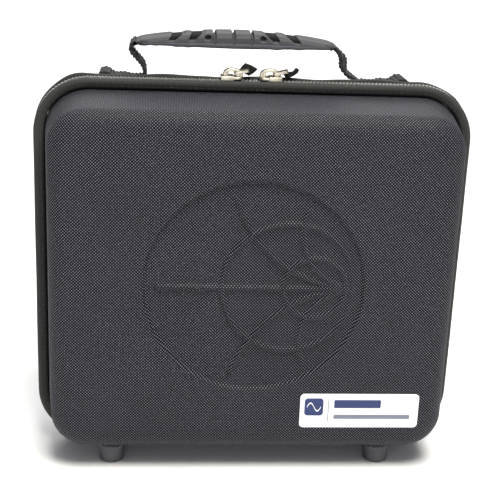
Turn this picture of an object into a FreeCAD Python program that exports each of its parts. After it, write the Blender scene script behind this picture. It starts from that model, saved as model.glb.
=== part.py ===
import FreeCAD, Part
import math
import os
import sys

import Sketcher

Vector = FreeCAD.Vector
Constraint = Sketcher.Constraint

# Driving sizes in millimetres (angles in degrees): alias, value, what it is.
# x runs to the right, y to the back and z up; the zip closes on the plane y = 0
# and the feet stand on z = 0.
SIZES = [
    ("case_width", 300, "outline of the zip, left to right"),
    ("case_height", 266, "outline of the zip, bottom to top"),
    ("rim_lift", 5, "lowest point of the zip outline above the ground"),
    ("corner_round", 38, "corner radius of the zip outline"),
    ("front_depth", 52, "zip plane to the front face"),
    ("rear_depth", 52, "zip plane to the rear face"),
    ("draft", 6, "draft of the moulded walls"),
    ("face_round", 14, "radius between a face and its walls"),
    ("shell_wall", 4, "thickness of the moulded foam board"),
    ("closing_gap", 0.3, "zip plane to each shell's edge"),
    ("rim_reach", 7.5, "zip outline to the wall, measured inwards"),
    ("tooth_row", 2.6, "height of the zip's teeth above the tape"),
    ("tooth_gap", 0.7, "zip plane to the teeth"),
    ("tooth_reach", 2.5, "width of one row of teeth"),
    ("tape_thick", 0.8, "zip tape"),
    ("tape_play", 0.1, "edges of the zip tape to the teeth and the wall"),
    ("flange_start", 4.5, "zip plane to the sewing flange"),
    ("flange_thick", 2.5, "sewing flange of a shell"),
    ("flange_inset", 1.5, "zip outline to the flange's edge"),
    ("binding_inset", 0.5, "zip outline to the binding's edge"),
    ("binding_skin", 1.2, "binding in front of the flange"),
    ("binding_roll", 0.2, "front edge of the binding, in from its outer edge"),
    ("lining_thick", 0.8, "inner lining"),
    ("lining_gap", 0.25, "lining to the board around it"),
    ("badge_width", 84, "name badge"),
    ("badge_height", 26, "name badge"),
    ("badge_thick", 1.2, "name badge"),
    ("badge_sink", 0.9, "depth of the badge's seat in the front face"),
    ("badge_round", 3, "corner radius of the badge"),
    ("badge_margin_side", 72.5, "badge centre to the zip outline, right"),
    ("badge_margin_low", 44, "badge centre above the zip outline's foot"),
    ("badge_gap", 0.15, "badge to the edge of its seat"),
    ("emblem_radius", 75, "sunken disc in the front face"),
    ("emblem_height", 134.5, "centre of the disc above the zip outline's foot"),
    ("emblem_sink", 1.8, "depth of the disc"),
    ("ridge_width", 2.6, "moulded lines on the disc"),
    ("ridge_rise", 1.1, "moulded lines on the disc"),
    ("foot_spacing", 192, "left foot to right foot"),
    ("foot_setback", 30, "zip plane to a foot's axis"),
    ("foot_height", 13, "rubber foot"),
    ("foot_radius_low", 8.7, "rubber foot at the ground"),
    ("foot_radius_top", 9.3, "rubber foot at the shell"),
    ("boss_radius", 10.5, "flat pad moulded on the shell for a foot"),
    ("boss_height", 8, "flat pad moulded on the shell for a foot"),
    ("screw_radius", 2, "foot screw"),
    ("screw_head_radius", 3.8, "foot screw"),
    ("screw_head_thick", 2.4, "foot screw"),
    ("screw_recess", 4, "depth of the head's seat in the foot"),
    ("screw_play", 0.15, "hole around a screw, per side"),
    ("nut_flat", 3.5, "half the nut's width across its flats"),
    ("nut_thick", 3.2, "foot nut"),
    ("nut_collar", 5.5, "radius of the collar under the nut"),
    ("nut_collar_thick", 0.8, "collar under the nut"),
    ("thread_play", 0.05, "nut's bore around the screw, per side"),
    ("hinge_length", 160, "sewn fabric hinge along the bottom"),
    ("hinge_thick", 0.8, "fabric hinge"),
    ("hinge_play", 1, "fabric hinge to the end of the zip, per side"),
    ("foam_inset", 21.5, "zip outline to the foam insert"),
    ("foam_front", 14, "zip plane to the foam's face"),
    ("foam_round", 6, "rear edges of the lower foam layer"),
    ("bay_depth", 26, "upper foam layer: depth of the compartments"),
    ("bay_width", 90, "compartment for a hand-held unit"),
    ("bay_side_width", 38, "compartment for small parts"),
    ("bay_web", 10, "foam divider between two compartments"),
    ("bay_margin", 16, "foam above and below the compartments"),
    ("bay_round", 2, "inner corners of the foam frame"),
    ("net_setback", 10, "zip plane to the net pocket in the lid"),
    ("net_thick", 1, "net pocket"),
    ("net_height", 150, "net pocket above the zip outline's foot"),
    ("net_gap", 0.25, "net pocket to the lining"),
    ("hem_height", 12, "elastic hem of the net pocket"),
    ("hem_thick", 2.4, "elastic hem of the net pocket"),
    ("strap_setback", 10, "zip plane to the carrying strap's front edge"),
    ("strap_width", 24, "carrying strap"),
    ("strap_thick", 2, "carrying strap"),
    ("anchor_inner", 77, "middle of the case to the strap's seam"),
    ("anchor_length", 29, "sewn end of the strap"),
    ("anchor_thick", 3.6, "sewn end of the strap, folded double"),
    ("anchor_gap", 0.1, "sewn end to the shell"),
    ("backing_thick", 2, "backing strip under the lining"),
    ("pivot_lift", 4.4, "wall under the strap to the line that it bends on"),
    ("pivot_radius", 2.4, "rounded lower end of a strap leg"),
    ("grip_length", 136, "moulded grip"),
    ("grip_shift", -13.5, "middle of the grip, as it leans to the left"),
    ("grip_lift", 18, "top of the zip outline to the grip's underside"),
    ("grip_thick", 11.5, "moulded grip at its middle"),
    ("grip_end_thick", 5, "moulded grip at its ends"),
    ("grip_lip", 0.7, "grip in front of and behind the strap's slot"),
    ("grip_round", 1.6, "edges of the grip"),
    ("grip_play", 0.3, "slot in the grip around the strap"),
    ("slider_length", 14.6, "zip slider"),
    ("slider_width", 10, "zip slider"),
    ("slider_plate", 1.7, "top plate of a slider"),
    ("slider_play", 0.4, "slider to the teeth and tape"),
    ("shoe_thick", 1.4, "bottom plate of a slider"),
    ("post_play", 0.3, "slider's post and lip to the teeth, per side"),
    ("lip_thick", 0.7, "slider's rear lip"),
    ("lip_drop", 2, "slider's rear lip"),
    ("left_slider_place", -17, "middle of the left slider"),
    ("right_slider_place", 9.4, "middle of the right slider"),
    ("bridge_length", 12, "bridge that carries the pull"),
    ("bridge_width", 3.4, "bridge that carries the pull"),
    ("bridge_height", 5, "bridge that carries the pull"),
    ("bridge_wall", 1.2, "bridge that carries the pull"),
    ("pull_pin", 0.8, "radius of the pull's cross bar"),
    ("pull_reach", 7.6, "cross bar to the pull's end plate"),
    ("pull_plate", 1.8, "length of the pull's end plate"),
    ("pull_thick", 1.4, "metal of the pull"),
    ("pull_arm", 0.9, "width of a pull's side arm"),
    ("pull_play", 0.4, "side arm to the bridge"),
    ("pull_lean", 15, "rest angle of the pull above the slider"),
    ("pin_place", 2.6, "middle of the slider to the cross bar"),
    ("pin_rise", 2, "top plate to the cross bar's axis"),
    ("cord_length", 6.4, "fabric end of the pull"),
    ("cord_width", 6.4, "fabric end of the pull"),
    ("cord_thick", 2.6, "fabric end of the pull"),
]

doc = FreeCAD.newDocument("carry_case")
sheet = doc.addObject("Spreadsheet::Sheet", "sizes")
for row, (alias, value, note) in enumerate(SIZES, start=1):
    sheet.set("A%d" % row, alias)
    sheet.set("B%d" % row, str(value))
    sheet.set("C%d" % row, note)
    sheet.setAlias("B%d" % row, alias)
doc.recompute()

FRONT = 1
REAR = -1
DEPTH = {FRONT: "sizes.front_depth", REAR: "sizes.rear_depth"}
SIDE_NAME = {FRONT: "front", REAR: "rear"}
FEET = {"left": "-sizes.foot_spacing / 2", "right": "sizes.foot_spacing / 2"}
SLIDERS = {"left": "sizes.left_slider_place", "right": "sizes.right_slider_place"}
RIM_TOP = "(sizes.rim_lift + sizes.case_height)"
WALL_INSET = "sizes.rim_reach"
INNER_DEPTH = "(%s - sizes.shell_wall - sizes.lining_gap)"
BADGE_X = "sizes.case_width / 2 - sizes.badge_margin_side"
BADGE_Z = "sizes.rim_lift + sizes.badge_margin_low"
EMBLEM_Z = "sizes.rim_lift + sizes.emblem_height"
# The two round ridges on the disc: radius as a share of the disc's, and the gap to
# the disc's right edge in ridge widths.
RIDGES = {"outer_line": (0.62, 2), "inner_line": (0.3, 4.5)}
NET_INSET = (
    "sizes.rim_reach + sizes.shell_wall / cos(sizes.draft * 1deg) + 2 * sizes.lining_gap"
    " + sizes.lining_thick + (sizes.net_setback + sizes.net_thick) * tan(sizes.draft * 1deg)"
)
FOAM_BACK = "(sizes.rear_depth - sizes.shell_wall - 2 * sizes.lining_gap - sizes.lining_thick)"
FOAM_SPLIT = "(sizes.foam_front + sizes.bay_depth)"
BAYS_LEFT = "(-(sizes.bay_width + sizes.bay_side_width / 2 + sizes.bay_web))"
BAYS_LOW = "(sizes.rim_lift + sizes.foam_inset + sizes.bay_margin)"
BAYS_HIGH = "(%s - sizes.foam_inset - sizes.bay_margin)" % RIM_TOP
STRAP_MIDDLE = "(sizes.strap_setback + sizes.strap_width / 2)"
GRIP_WIDTH = "(sizes.strap_width + 2 * sizes.grip_play + 2 * sizes.grip_lip)"
GRIP_LOW = "(%s + sizes.grip_lift)" % RIM_TOP
GRIP_LEFT = "(sizes.grip_shift - sizes.grip_length / 2)"
GRIP_RIGHT = "(sizes.grip_shift + sizes.grip_length / 2)"
SLOT_MIDDLE = "(%s + sizes.grip_end_thick / 2)" % GRIP_LOW
# The strap's bends beyond the grip's ends: millimetres outwards, and share of the
# height from the pivot line up to the slot.
LEFT_BENDS = ((3.5, 0.82), (3.2, 0.94), (1.2, 1))
RIGHT_BENDS = ((3, 1), (12.6, 0.7), (14.1, 0.45))
# The same share where each leg turns upright, and where it has its full width.
LEFT_UPRIGHT = 0.5
RIGHT_UPRIGHT = 0.2
FULL_WIDTH = 0.85
PLATE_LOW = "(%s + sizes.slider_play)" % RIM_TOP
PLATE_TOP = "(%s + sizes.slider_plate)" % PLATE_LOW
SHOE_TOP = "(%s - sizes.tooth_row - sizes.tape_thick - sizes.slider_play)" % RIM_TOP
LEAST_CUT = 1  # cubic millimetres that a pocket must take away
SAME_LEVEL = 0.01  # millimetres
SUBPARTS = []


def size(alias):
    """A driving size as a plain number."""
    return float(sheet.get(alias))


def keep(item, label):
    """Name an object as a finished sub-part."""
    item.Label = label
    SUBPARTS.append(item)
    return item


def new_body(label):
    """An empty body for one sub-part."""
    return keep(doc.addObject("PartDesign::Body", label + "_body"), label)


def plane(body, role):
    """One of a body's own origin planes."""
    for feature in body.Origin.OriginFeatures:
        if feature.Role == role:
            return feature
    raise ValueError(role)


def new_sketch(body, name, role, offset="0"):
    """A sketch on an origin plane, moved along the plane's normal.

    On XZ_Plane the normal points to the front (-y), on XY_Plane up.
    """
    sketch = body.newObject("Sketcher::SketchObject", name)
    sketch.AttachmentSupport = [(plane(body, role), "")]
    sketch.MapMode = "FlatFace"
    sketch.setExpression(".AttachmentOffset.Base.z", offset)
    return sketch


def rounded_rectangle(sketch, left, right, low, high, radius):
    """A closed rounded rectangle; every argument is an expression."""
    x_low, x_high, y_low, y_high = (sheet_value(text) for text in (left, right, low, high))
    corner = sheet_value(radius)
    first = sketch.GeometryCount
    points = [
        (x_low + corner, y_low, x_high - corner, y_low),
        (x_high, y_low + corner, x_high, y_high - corner),
        (x_high - corner, y_high, x_low + corner, y_high),
        (x_low, y_high - corner, x_low, y_low + corner),
    ]
    for x_from, y_from, x_to, y_to in points:
        line = Part.LineSegment(Vector(x_from, y_from, 0), Vector(x_to, y_to, 0))
        sketch.addGeometry(line, False)
    centres = [
        (x_high - corner, y_low + corner, -90),
        (x_high - corner, y_high - corner, 0),
        (x_low + corner, y_high - corner, 90),
        (x_low + corner, y_low + corner, 180),
    ]
    for x_mid, y_mid, start in centres:
        circle = Part.Circle(Vector(x_mid, y_mid, 0), Vector(0, 0, 1), corner)
        arc = Part.ArcOfCircle(circle, math.radians(start), math.radians(start + 90))
        sketch.addGeometry(arc, False)
    for turn in range(4):
        line = first + turn
        arc = first + 4 + turn
        following = first + (turn + 1) % 4
        sketch.addConstraint(Constraint("Tangent", line, 2, arc, 1))
        sketch.addConstraint(Constraint("Tangent", arc, 2, following, 1))
        if turn:
            sketch.addConstraint(Constraint("Equal", first + 4, arc))
    for line in (first, first + 2):
        sketch.addConstraint(Constraint("Horizontal", line))
    for line in (first + 1, first + 3):
        sketch.addConstraint(Constraint("Vertical", line))
    bind(sketch, Constraint("DistanceY", -1, 1, first, 1, y_low), low)
    bind(sketch, Constraint("DistanceY", -1, 1, first + 2, 1, y_high), high)
    bind(sketch, Constraint("DistanceX", -1, 1, first + 1, 1, x_high), right)
    bind(sketch, Constraint("DistanceX", -1, 1, first + 3, 1, x_low), left)
    bind(sketch, Constraint("Radius", first + 4, corner), radius)


def circle(sketch, across, along, radius):
    """A circle placed and sized by expressions."""
    index = sketch.GeometryCount
    place = Vector(sheet_value(across), sheet_value(along), 0)
    sketch.addGeometry(Part.Circle(place, Vector(0, 0, 1), sheet_value(radius)), False)
    bind(sketch, Constraint("DistanceX", -1, 1, index, 3, place.x), across)
    bind(sketch, Constraint("DistanceY", -1, 1, index, 3, place.y), along)
    bind(sketch, Constraint("Radius", index, sheet_value(radius)), radius)


def bind(sketch, constraint, expression):
    """Add a dimension and drive it by an expression."""
    index = sketch.addConstraint(constraint)
    sketch.setExpression("Constraints[%d]" % index, expression)


def sheet_value(expression):
    """The present value of an expression on the sheet."""
    return float(sheet.evalExpression(expression))


def frame_outline(sketch, inset):
    """The zip outline moved inwards by an inset; corners stay concentric."""
    rounded_rectangle(
        sketch,
        "-sizes.case_width / 2 + (%s)" % inset,
        "sizes.case_width / 2 - (%s)" % inset,
        "sizes.rim_lift + (%s)" % inset,
        "sizes.rim_lift + sizes.case_height - (%s)" % inset,
        "sizes.corner_round - (%s)" % inset,
    )


def add_solid(body, kind, sketch, length, side):
    """A pad or pocket that runs away from the zip plane on the given side."""
    feature = body.newObject("PartDesign::" + kind, sketch.Name + "_" + kind.lower())
    feature.Profile = sketch
    feature.setExpression("Length", length)
    feature.Reversed = (side == REAR) if kind == "Pad" else (side == FRONT)
    return feature


def checked_pocket(body, sketch, length, side):
    """A pocket that must take material away."""
    doc.recompute()
    before = body.Shape.Volume
    pocket = add_solid(body, "Pocket", sketch, length, side)
    doc.recompute()
    if body.Shape.Volume > before - LEAST_CUT:
        raise RuntimeError("pocket cuts nothing: " + sketch.Name)
    return pocket


def ring(body, name, outer, inner, start, length, side):
    """A ring that follows the zip outline between two insets."""
    offset = "%d * (%s)" % (side, start)
    outside = new_sketch(body, name, "XZ_Plane", offset)
    frame_outline(outside, outer)
    frame_outline(outside, inner)
    return add_solid(body, "Pad", outside, length, side)


def edges_on_plane(shape, level):
    """Names of the edges that lie on a plane y = level."""
    names = []
    for number, edge in enumerate(shape.Edges, start=1):
        box = edge.BoundBox
        if abs(box.YMin - level) < SAME_LEVEL and abs(box.YMax - level) < SAME_LEVEL:
            names.append("Edge%d" % number)
    return names


def round_face(body, name, level, radius):
    """Round the edges where the walls meet the face on y = level."""
    doc.recompute()
    base = body.Tip
    fillet = body.newObject("PartDesign::Fillet", name)
    fillet.Base = (base, edges_on_plane(base.Shape, level))
    fillet.setExpression("Radius", radius)
    doc.recompute()


def tub(body, name, side, inset, start, depth, radius, wall):
    """A drafted, rounded tub, open towards the zip plane."""
    offset = "%d * (%s)" % (side, start)
    outside = new_sketch(body, name, "XZ_Plane", offset)
    frame_outline(outside, inset)
    block = add_solid(body, "Pad", outside, "(%s) - (%s)" % (depth, start), side)
    block.setExpression("TaperAngle", "-sizes.draft")
    inside = new_sketch(body, name + "_inside", "XZ_Plane", offset)
    frame_outline(inside, "(%s) + (%s) / cos(sizes.draft * 1deg)" % (inset, wall))
    hollow = checked_pocket(body, inside, "(%s) - (%s) - (%s)" % (depth, start, wall), side)
    hollow.setExpression("TaperAngle", "-sizes.draft")
    face = -side * sheet_value(depth)
    floor = -side * (sheet_value(depth) - sheet_value(wall))
    round_face(body, name + "_inner_round", floor, "(%s) - (%s)" % (radius, wall))
    round_face(body, name + "_round", face, radius)


def foot_axis(side):
    """Expression for a foot's place in y."""
    return "%d * sizes.foot_setback" % -side


def foot_circles(sketch, side, radius):
    """One circle on each foot's axis."""
    for across in FEET.values():
        circle(sketch, across, foot_axis(side), radius)


def shell_base(body, side):
    """Moulded tub with its sewing flange and the pads for the feet."""
    tub(body, "wall", side, WALL_INSET, "sizes.closing_gap", DEPTH[side], "sizes.face_round",
        "sizes.shell_wall")
    ring(body, "flange", "sizes.flange_inset", WALL_INSET + " + sizes.shell_wall / 2",
         "sizes.flange_start", "sizes.flange_thick", side)
    pads = new_sketch(body, "foot_pads", "XY_Plane", "sizes.foot_height")
    foot_circles(pads, side, "sizes.boss_radius")
    boss = body.newObject("PartDesign::Pad", "foot_pads_pad")
    boss.Profile = pads
    boss.setExpression("Length", "sizes.boss_height")
    holes = new_sketch(body, "screw_holes", "XY_Plane", "sizes.foot_height + 2 * sizes.boss_height")
    foot_circles(holes, side, "sizes.screw_radius + sizes.screw_play")
    doc.recompute()
    before = body.Shape.Volume
    bore = body.newObject("PartDesign::Pocket", "screw_holes_pocket")
    bore.Profile = holes
    bore.setExpression("Length", "3 * sizes.boss_height")
    doc.recompute()
    if body.Shape.Volume > before - LEAST_CUT:
        raise RuntimeError("screw holes cut nothing")


def rear_shell():
    """Rear half of the case."""
    body = new_body("rear_shell")
    shell_base(body, REAR)


def badge_outline(sketch, grow):
    """The badge's outline, grown by a clearance."""
    rounded_rectangle(
        sketch,
        BADGE_X + " - sizes.badge_width / 2 - (%s)" % grow,
        BADGE_X + " + sizes.badge_width / 2 + (%s)" % grow,
        BADGE_Z + " - sizes.badge_height / 2 - (%s)" % grow,
        BADGE_Z + " + sizes.badge_height / 2 + (%s)" % grow,
        "sizes.badge_round + (%s)" % grow,
    )


def front_shell():
    """Front half of the case: the lid, with its sunken disc and badge seat."""
    body = new_body("front_shell")
    shell_base(body, FRONT)
    floor = "sizes.front_depth - sizes.emblem_sink"
    disc = new_sketch(body, "disc", "XZ_Plane", floor)
    circle(disc, "0", EMBLEM_Z, "sizes.emblem_radius")
    checked_pocket(body, disc, "2 * sizes.emblem_sink", FRONT)
    for name, (share, lines) in RIDGES.items():
        line = new_sketch(body, name, "XZ_Plane", floor)
        reach = "sizes.emblem_radius * %g" % share
        middle = "sizes.emblem_radius - %s - %g * sizes.ridge_width" % (reach, lines)
        circle(line, middle, EMBLEM_Z, reach)
        circle(line, middle, EMBLEM_Z, reach + " - sizes.ridge_width")
        add_solid(body, "Pad", line, "sizes.ridge_rise", FRONT)
    seat = new_sketch(body, "badge_seat", "XZ_Plane", "sizes.front_depth - sizes.badge_sink")
    badge_outline(seat, "sizes.badge_gap")
    checked_pocket(body, seat, "2 * sizes.badge_sink", FRONT)


def name_badge():
    """Printed plate in its seat on the front face."""
    body = new_body("name_badge")
    sketch = new_sketch(body, "plate", "XZ_Plane", "sizes.front_depth - sizes.badge_sink")
    badge_outline(sketch, "0")
    add_solid(body, "Pad", sketch, "sizes.badge_thick", FRONT)


def lining(side):
    """Fabric lining just inside a shell, open around the foot pads."""
    body = new_body(SIDE_NAME[side] + "_lining")
    inset = WALL_INSET + " + sizes.shell_wall / cos(sizes.draft * 1deg) + sizes.lining_gap"
    tub(body, "cloth", side, inset, "sizes.closing_gap", INNER_DEPTH % DEPTH[side],
        "sizes.face_round - sizes.shell_wall", "sizes.lining_thick")
    holes = new_sketch(body, "pad_holes", "XY_Plane", "sizes.foot_height + 3 * sizes.boss_height")
    foot_circles(holes, side, "sizes.boss_radius + sizes.lining_gap")
    pocket = body.newObject("PartDesign::Pocket", "pad_holes_pocket")
    pocket.Profile = holes
    pocket.setExpression("Length", "4 * sizes.boss_height")
    doc.recompute()


def binding(side):
    """Bias tape sewn around a shell's flange."""
    body = new_body(SIDE_NAME[side] + "_binding")
    front_start = "sizes.flange_start + sizes.flange_thick"
    ring(body, "edge", "sizes.binding_inset", "sizes.flange_inset", "sizes.flange_start",
         "sizes.flange_thick + sizes.binding_skin", side)
    seam = "sizes.rim_reach + (%s) * tan(sizes.draft * 1deg) - sizes.lining_gap / 2" % front_start
    ring(body, "face", "sizes.binding_inset + sizes.binding_roll", seam, front_start,
         "sizes.binding_skin", side)
    doc.recompute()


def open_at_hinge(body, side):
    """Leave the fabric hinge's length out of a zip piece."""
    gap = new_sketch(body, "hinge_gap", "XZ_Plane", "0")
    reach = "(sizes.hinge_length / 2 + sizes.hinge_play)"
    rounded_rectangle(gap, "-" + reach, reach, "sizes.rim_lift - sizes.rim_reach",
                      "sizes.rim_lift + 2 * sizes.rim_reach", "sizes.hinge_play")
    checked_pocket(body, gap, "sizes.flange_start + sizes.flange_thick", side)


def zip_tape(side):
    """Woven tape: under the teeth, then sewn down on the flange."""
    body = new_body(SIDE_NAME[side] + "_zip_tape")
    under = "sizes.tooth_row + sizes.tape_thick"
    ring(body, "strip", "sizes.tooth_row", under, "sizes.tooth_gap",
         "sizes.flange_start - sizes.tooth_gap", side)
    ring(body, "flap", "sizes.tooth_row + sizes.tape_play", "sizes.rim_reach - sizes.tape_play",
         "sizes.flange_start - sizes.tape_thick", "sizes.tape_thick", side)
    open_at_hinge(body, side)


def zip_teeth(side):
    """One side's row of zip teeth, as a plain closed band."""
    body = new_body(SIDE_NAME[side] + "_zip_teeth")
    ring(body, "row", "0", "sizes.tooth_row", "sizes.tooth_gap", "sizes.tooth_reach", side)
    open_at_hinge(body, side)


def box(name, expressions, place):
    """A Part::Box sized and placed by expressions."""
    item = doc.addObject("Part::Box", name)
    for field, text in zip(("Length", "Width", "Height"), expressions):
        item.setExpression(field, text)
    for field, text in zip("xyz", place):
        item.setExpression("Placement.Base." + field, text)
    return item


def cylinder(name, radius, height, place):
    """An upright Part::Cylinder sized and placed by expressions."""
    item = doc.addObject("Part::Cylinder", name)
    item.setExpression("Radius", radius)
    item.setExpression("Height", height)
    for field, text in zip("xyz", place):
        item.setExpression("Placement.Base." + field, text)
    return item


def cut(name, base, tool):
    """Part::Cut of two objects."""
    item = doc.addObject("Part::Cut", name)
    item.Base = base
    item.Tool = tool
    return item


def join(name, items):
    """Part::MultiFuse of a list of objects."""
    item = doc.addObject("Part::MultiFuse", name)
    item.Shapes = items
    return item


def group(name, items):
    """Separate identical solids kept as one sub-part."""
    item = doc.addObject("Part::Compound", name)
    item.Links = items
    return item


def hinge_tape():
    """Fabric strip sewn under both bindings: the lid bends on it."""
    reach = "(sizes.flange_start + sizes.flange_thick + sizes.binding_skin)"
    keep(
        box(
            "hinge_tape",
            ("sizes.hinge_length", "2 * " + reach, "sizes.hinge_thick"),
            ("-sizes.hinge_length / 2", "-" + reach,
             "sizes.rim_lift + sizes.binding_inset - sizes.hinge_thick"),
        ),
        "hinge_tape",
    )


def foot(side, hand):
    """Rubber foot: a tapered stud with a counterbored hole."""
    name = "%s_foot_%s" % (SIDE_NAME[side], hand)
    place = (FEET[hand], foot_axis(side), "0")
    stud = doc.addObject("Part::Cone", name + "_stud")
    stud.setExpression("Radius1", "sizes.foot_radius_low")
    stud.setExpression("Radius2", "sizes.foot_radius_top")
    stud.setExpression("Height", "sizes.foot_height")
    for field, text in zip("xyz", place):
        stud.setExpression("Placement.Base." + field, text)
    hole = cylinder(name + "_hole", "sizes.screw_radius + sizes.screw_play", "sizes.foot_height", place)
    recess = cylinder(name + "_recess", "sizes.screw_head_radius + sizes.screw_play",
                      "sizes.screw_recess", place)
    keep(cut(name, stud, join(name + "_bore", [hole, recess])), name)


def foot_fasteners(side):
    """Screws from below and collared nuts inside the shell."""
    screws = []
    nuts = []
    for hand, across in FEET.items():
        tag = "%s_%s" % (SIDE_NAME[side], hand)
        head_base = "(sizes.screw_recess - sizes.screw_head_thick)"
        seat = "(sizes.foot_height + sizes.boss_height)"
        head = cylinder(tag + "_head", "sizes.screw_head_radius", "sizes.screw_head_thick",
                        (across, foot_axis(side), head_base))
        shank = cylinder(tag + "_shank", "sizes.screw_radius",
                         seat + " + sizes.nut_thick - " + head_base,
                         (across, foot_axis(side), head_base))
        screws.append(join(tag + "_screw", [head, shank]))
        collar = cylinder(tag + "_collar", "sizes.nut_collar", "sizes.nut_collar_thick",
                          (across, foot_axis(side), seat))
        hexagon = doc.addObject("Part::Prism", tag + "_hexagon")
        hexagon.Polygon = 6
        hexagon.setExpression("Circumradius", "sizes.nut_flat / cos(30deg)")
        hexagon.setExpression("Height", "sizes.nut_thick")
        for field, text in zip("xyz", (across, foot_axis(side), seat)):
            hexagon.setExpression("Placement.Base." + field, text)
        bore = cylinder(tag + "_thread", "sizes.screw_radius + sizes.thread_play", "2 * sizes.nut_thick",
                        (across, foot_axis(side), seat))
        nuts.append(cut(tag + "_nut", join(tag + "_nut_blank", [collar, hexagon]), bore))
    keep(group(SIDE_NAME[side] + "_screws", screws), SIDE_NAME[side] + "_foot_screws")
    keep(group(SIDE_NAME[side] + "_nuts", nuts), SIDE_NAME[side] + "_foot_nuts")


def foam_base():
    """Lower foam layer, with rounded rear edges that follow the shell."""
    body = new_body("foam_base")
    slab = new_sketch(body, "slab", "XZ_Plane", "-" + FOAM_SPLIT)
    frame_outline(slab, "sizes.foam_inset")
    add_solid(body, "Pad", slab, "%s - %s" % (FOAM_BACK, FOAM_SPLIT), REAR)
    round_face(body, "slab_round", sheet_value(FOAM_BACK), "sizes.foam_round")


def foam_frame():
    """Upper foam layer: a frame glued on the lower one, with room for hand-held units."""
    body = new_body("foam_frame")
    block = new_sketch(body, "frame_block", "XZ_Plane", "-sizes.foam_front")
    frame_outline(block, "sizes.foam_inset")
    add_solid(body, "Pad", block, "sizes.bay_depth", REAR)
    room = new_sketch(body, "room", "XZ_Plane", "-sizes.foam_front")
    rounded_rectangle(room, BAYS_LEFT, "-" + BAYS_LEFT, BAYS_LOW, BAYS_HIGH, "sizes.bay_round")
    checked_pocket(body, room, "sizes.bay_depth", REAR)


def foam_dividers():
    """Foam strips glued into the frame: two upright ones and a short one across."""
    left_web = BAYS_LEFT + " + sizes.bay_width"
    right_web = left_web + " + sizes.bay_web + sizes.bay_width"
    side_bay = right_web + " + sizes.bay_web"
    middle = "(%s + %s - sizes.bay_web) / 2" % (BAYS_LOW, BAYS_HIGH)
    tall = "%s - %s" % (BAYS_HIGH, BAYS_LOW)
    for name, left, width, low, height in (
        ("foam_divider_left", left_web, "sizes.bay_web", BAYS_LOW, tall),
        ("foam_divider_right", right_web, "sizes.bay_web", BAYS_LOW, tall),
        ("foam_divider_cross", side_bay, "sizes.bay_side_width", middle, "sizes.bay_web"),
    ):
        keep(box(name, (width, "sizes.bay_depth", height), (left, "sizes.foam_front", low)), name)


def net_pocket():
    """Net panel across the lower part of the lid, and its elastic hem."""
    top = "sizes.rim_lift + sizes.net_height"
    panel = new_body("mesh_pocket")
    sheet_sketch = new_sketch(panel, "panel", "XZ_Plane", "sizes.net_setback")
    frame_outline(sheet_sketch, NET_INSET)
    add_solid(panel, "Pad", sheet_sketch, "sizes.net_thick", FRONT)
    doc.recompute()
    above = new_sketch(panel, "above", "XZ_Plane", "sizes.net_setback - sizes.net_thick")
    rounded_rectangle(above, "-sizes.case_width / 2", "sizes.case_width / 2", top, RIM_TOP,
                      "sizes.net_thick")
    checked_pocket(panel, above, "3 * sizes.net_thick", FRONT)
    width = "(sizes.case_width - 2 * (%s))" % NET_INSET
    hem = box("hem", (width, "sizes.hem_thick", "sizes.hem_height"),
              ("-%s / 2" % width,
               "-sizes.net_setback - sizes.net_thick / 2 - sizes.hem_thick / 2", top))
    keep(hem, "pocket_hem")


def wall_top(setback):
    """Height of the rear shell's drafted top wall at a distance behind the zip."""
    return "(%s - sizes.rim_reach - ((%s) - sizes.closing_gap) * tan(sizes.draft * 1deg))" % (
        RIM_TOP, setback)


def sloped_box(name, left, length, thickness, above):
    """A box as wide as the strap, lying parallel to the drafted top wall."""
    item = box(name, (length, "sizes.strap_width / cos(sizes.draft * 1deg)", thickness),
               (left, "sizes.strap_setback",
                "%s + (%s)" % (wall_top("sizes.strap_setback"), above)))
    item.Placement = FreeCAD.Placement(item.Placement.Base, FreeCAD.Rotation(Vector(-1, 0, 0), 1))
    item.setExpression("Placement.Rotation.Angle", "sizes.draft * 1deg")
    return item


def handle_anchors():
    """The strap's two folded ends, sewn flat on the rear shell."""
    lefts = {"left": "-sizes.anchor_inner - sizes.anchor_length", "right": "sizes.anchor_inner"}
    for hand, left in lefts.items():
        name = "handle_anchor_" + hand
        keep(sloped_box(name, left, "sizes.anchor_length", "sizes.anchor_thick", "sizes.anchor_gap"),
             name)


def handle_backing_plate():
    """Plastic strip under the lining that spreads the handle's load."""
    depth = "(sizes.shell_wall + 2 * sizes.lining_gap + sizes.lining_thick + sizes.backing_thick)"
    keep(
        sloped_box("backing", "-sizes.anchor_inner - sizes.anchor_length",
                   "2 * (sizes.anchor_inner + sizes.anchor_length)", "sizes.backing_thick",
                   "-%s / cos(sizes.draft * 1deg)" % depth),
        "handle_backing_plate",
    )


def thick_line(points, thickness):
    """Outline of a bent strip: each point moved to both sides, with mitred turns."""
    sides = ([], [])
    for index, (x_mid, z_mid) in enumerate(points):
        before = points[max(index - 1, 0)]
        after = points[min(index + 1, len(points) - 1)]
        normals = []
        for start, end in ((before, (x_mid, z_mid)), ((x_mid, z_mid), after)):
            length = math.hypot(end[0] - start[0], end[1] - start[1])
            if length > 0:
                normals.append(((start[1] - end[1]) / length, (end[0] - start[0]) / length))
        total = Vector(sum(n[0] for n in normals), 0, sum(n[1] for n in normals))
        reach = thickness / 2 * len(normals) / total.Length ** 2
        for row, sign in zip(sides, (1, -1)):
            row.append(Vector(x_mid + sign * reach * total.x, 0, z_mid + sign * reach * total.z))
    return sides[0] + sides[1][::-1]


def pivot_height():
    """Height of the line on which the strap bends."""
    return sheet_value(wall_top(STRAP_MIDDLE)) + size("pivot_lift")


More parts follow.
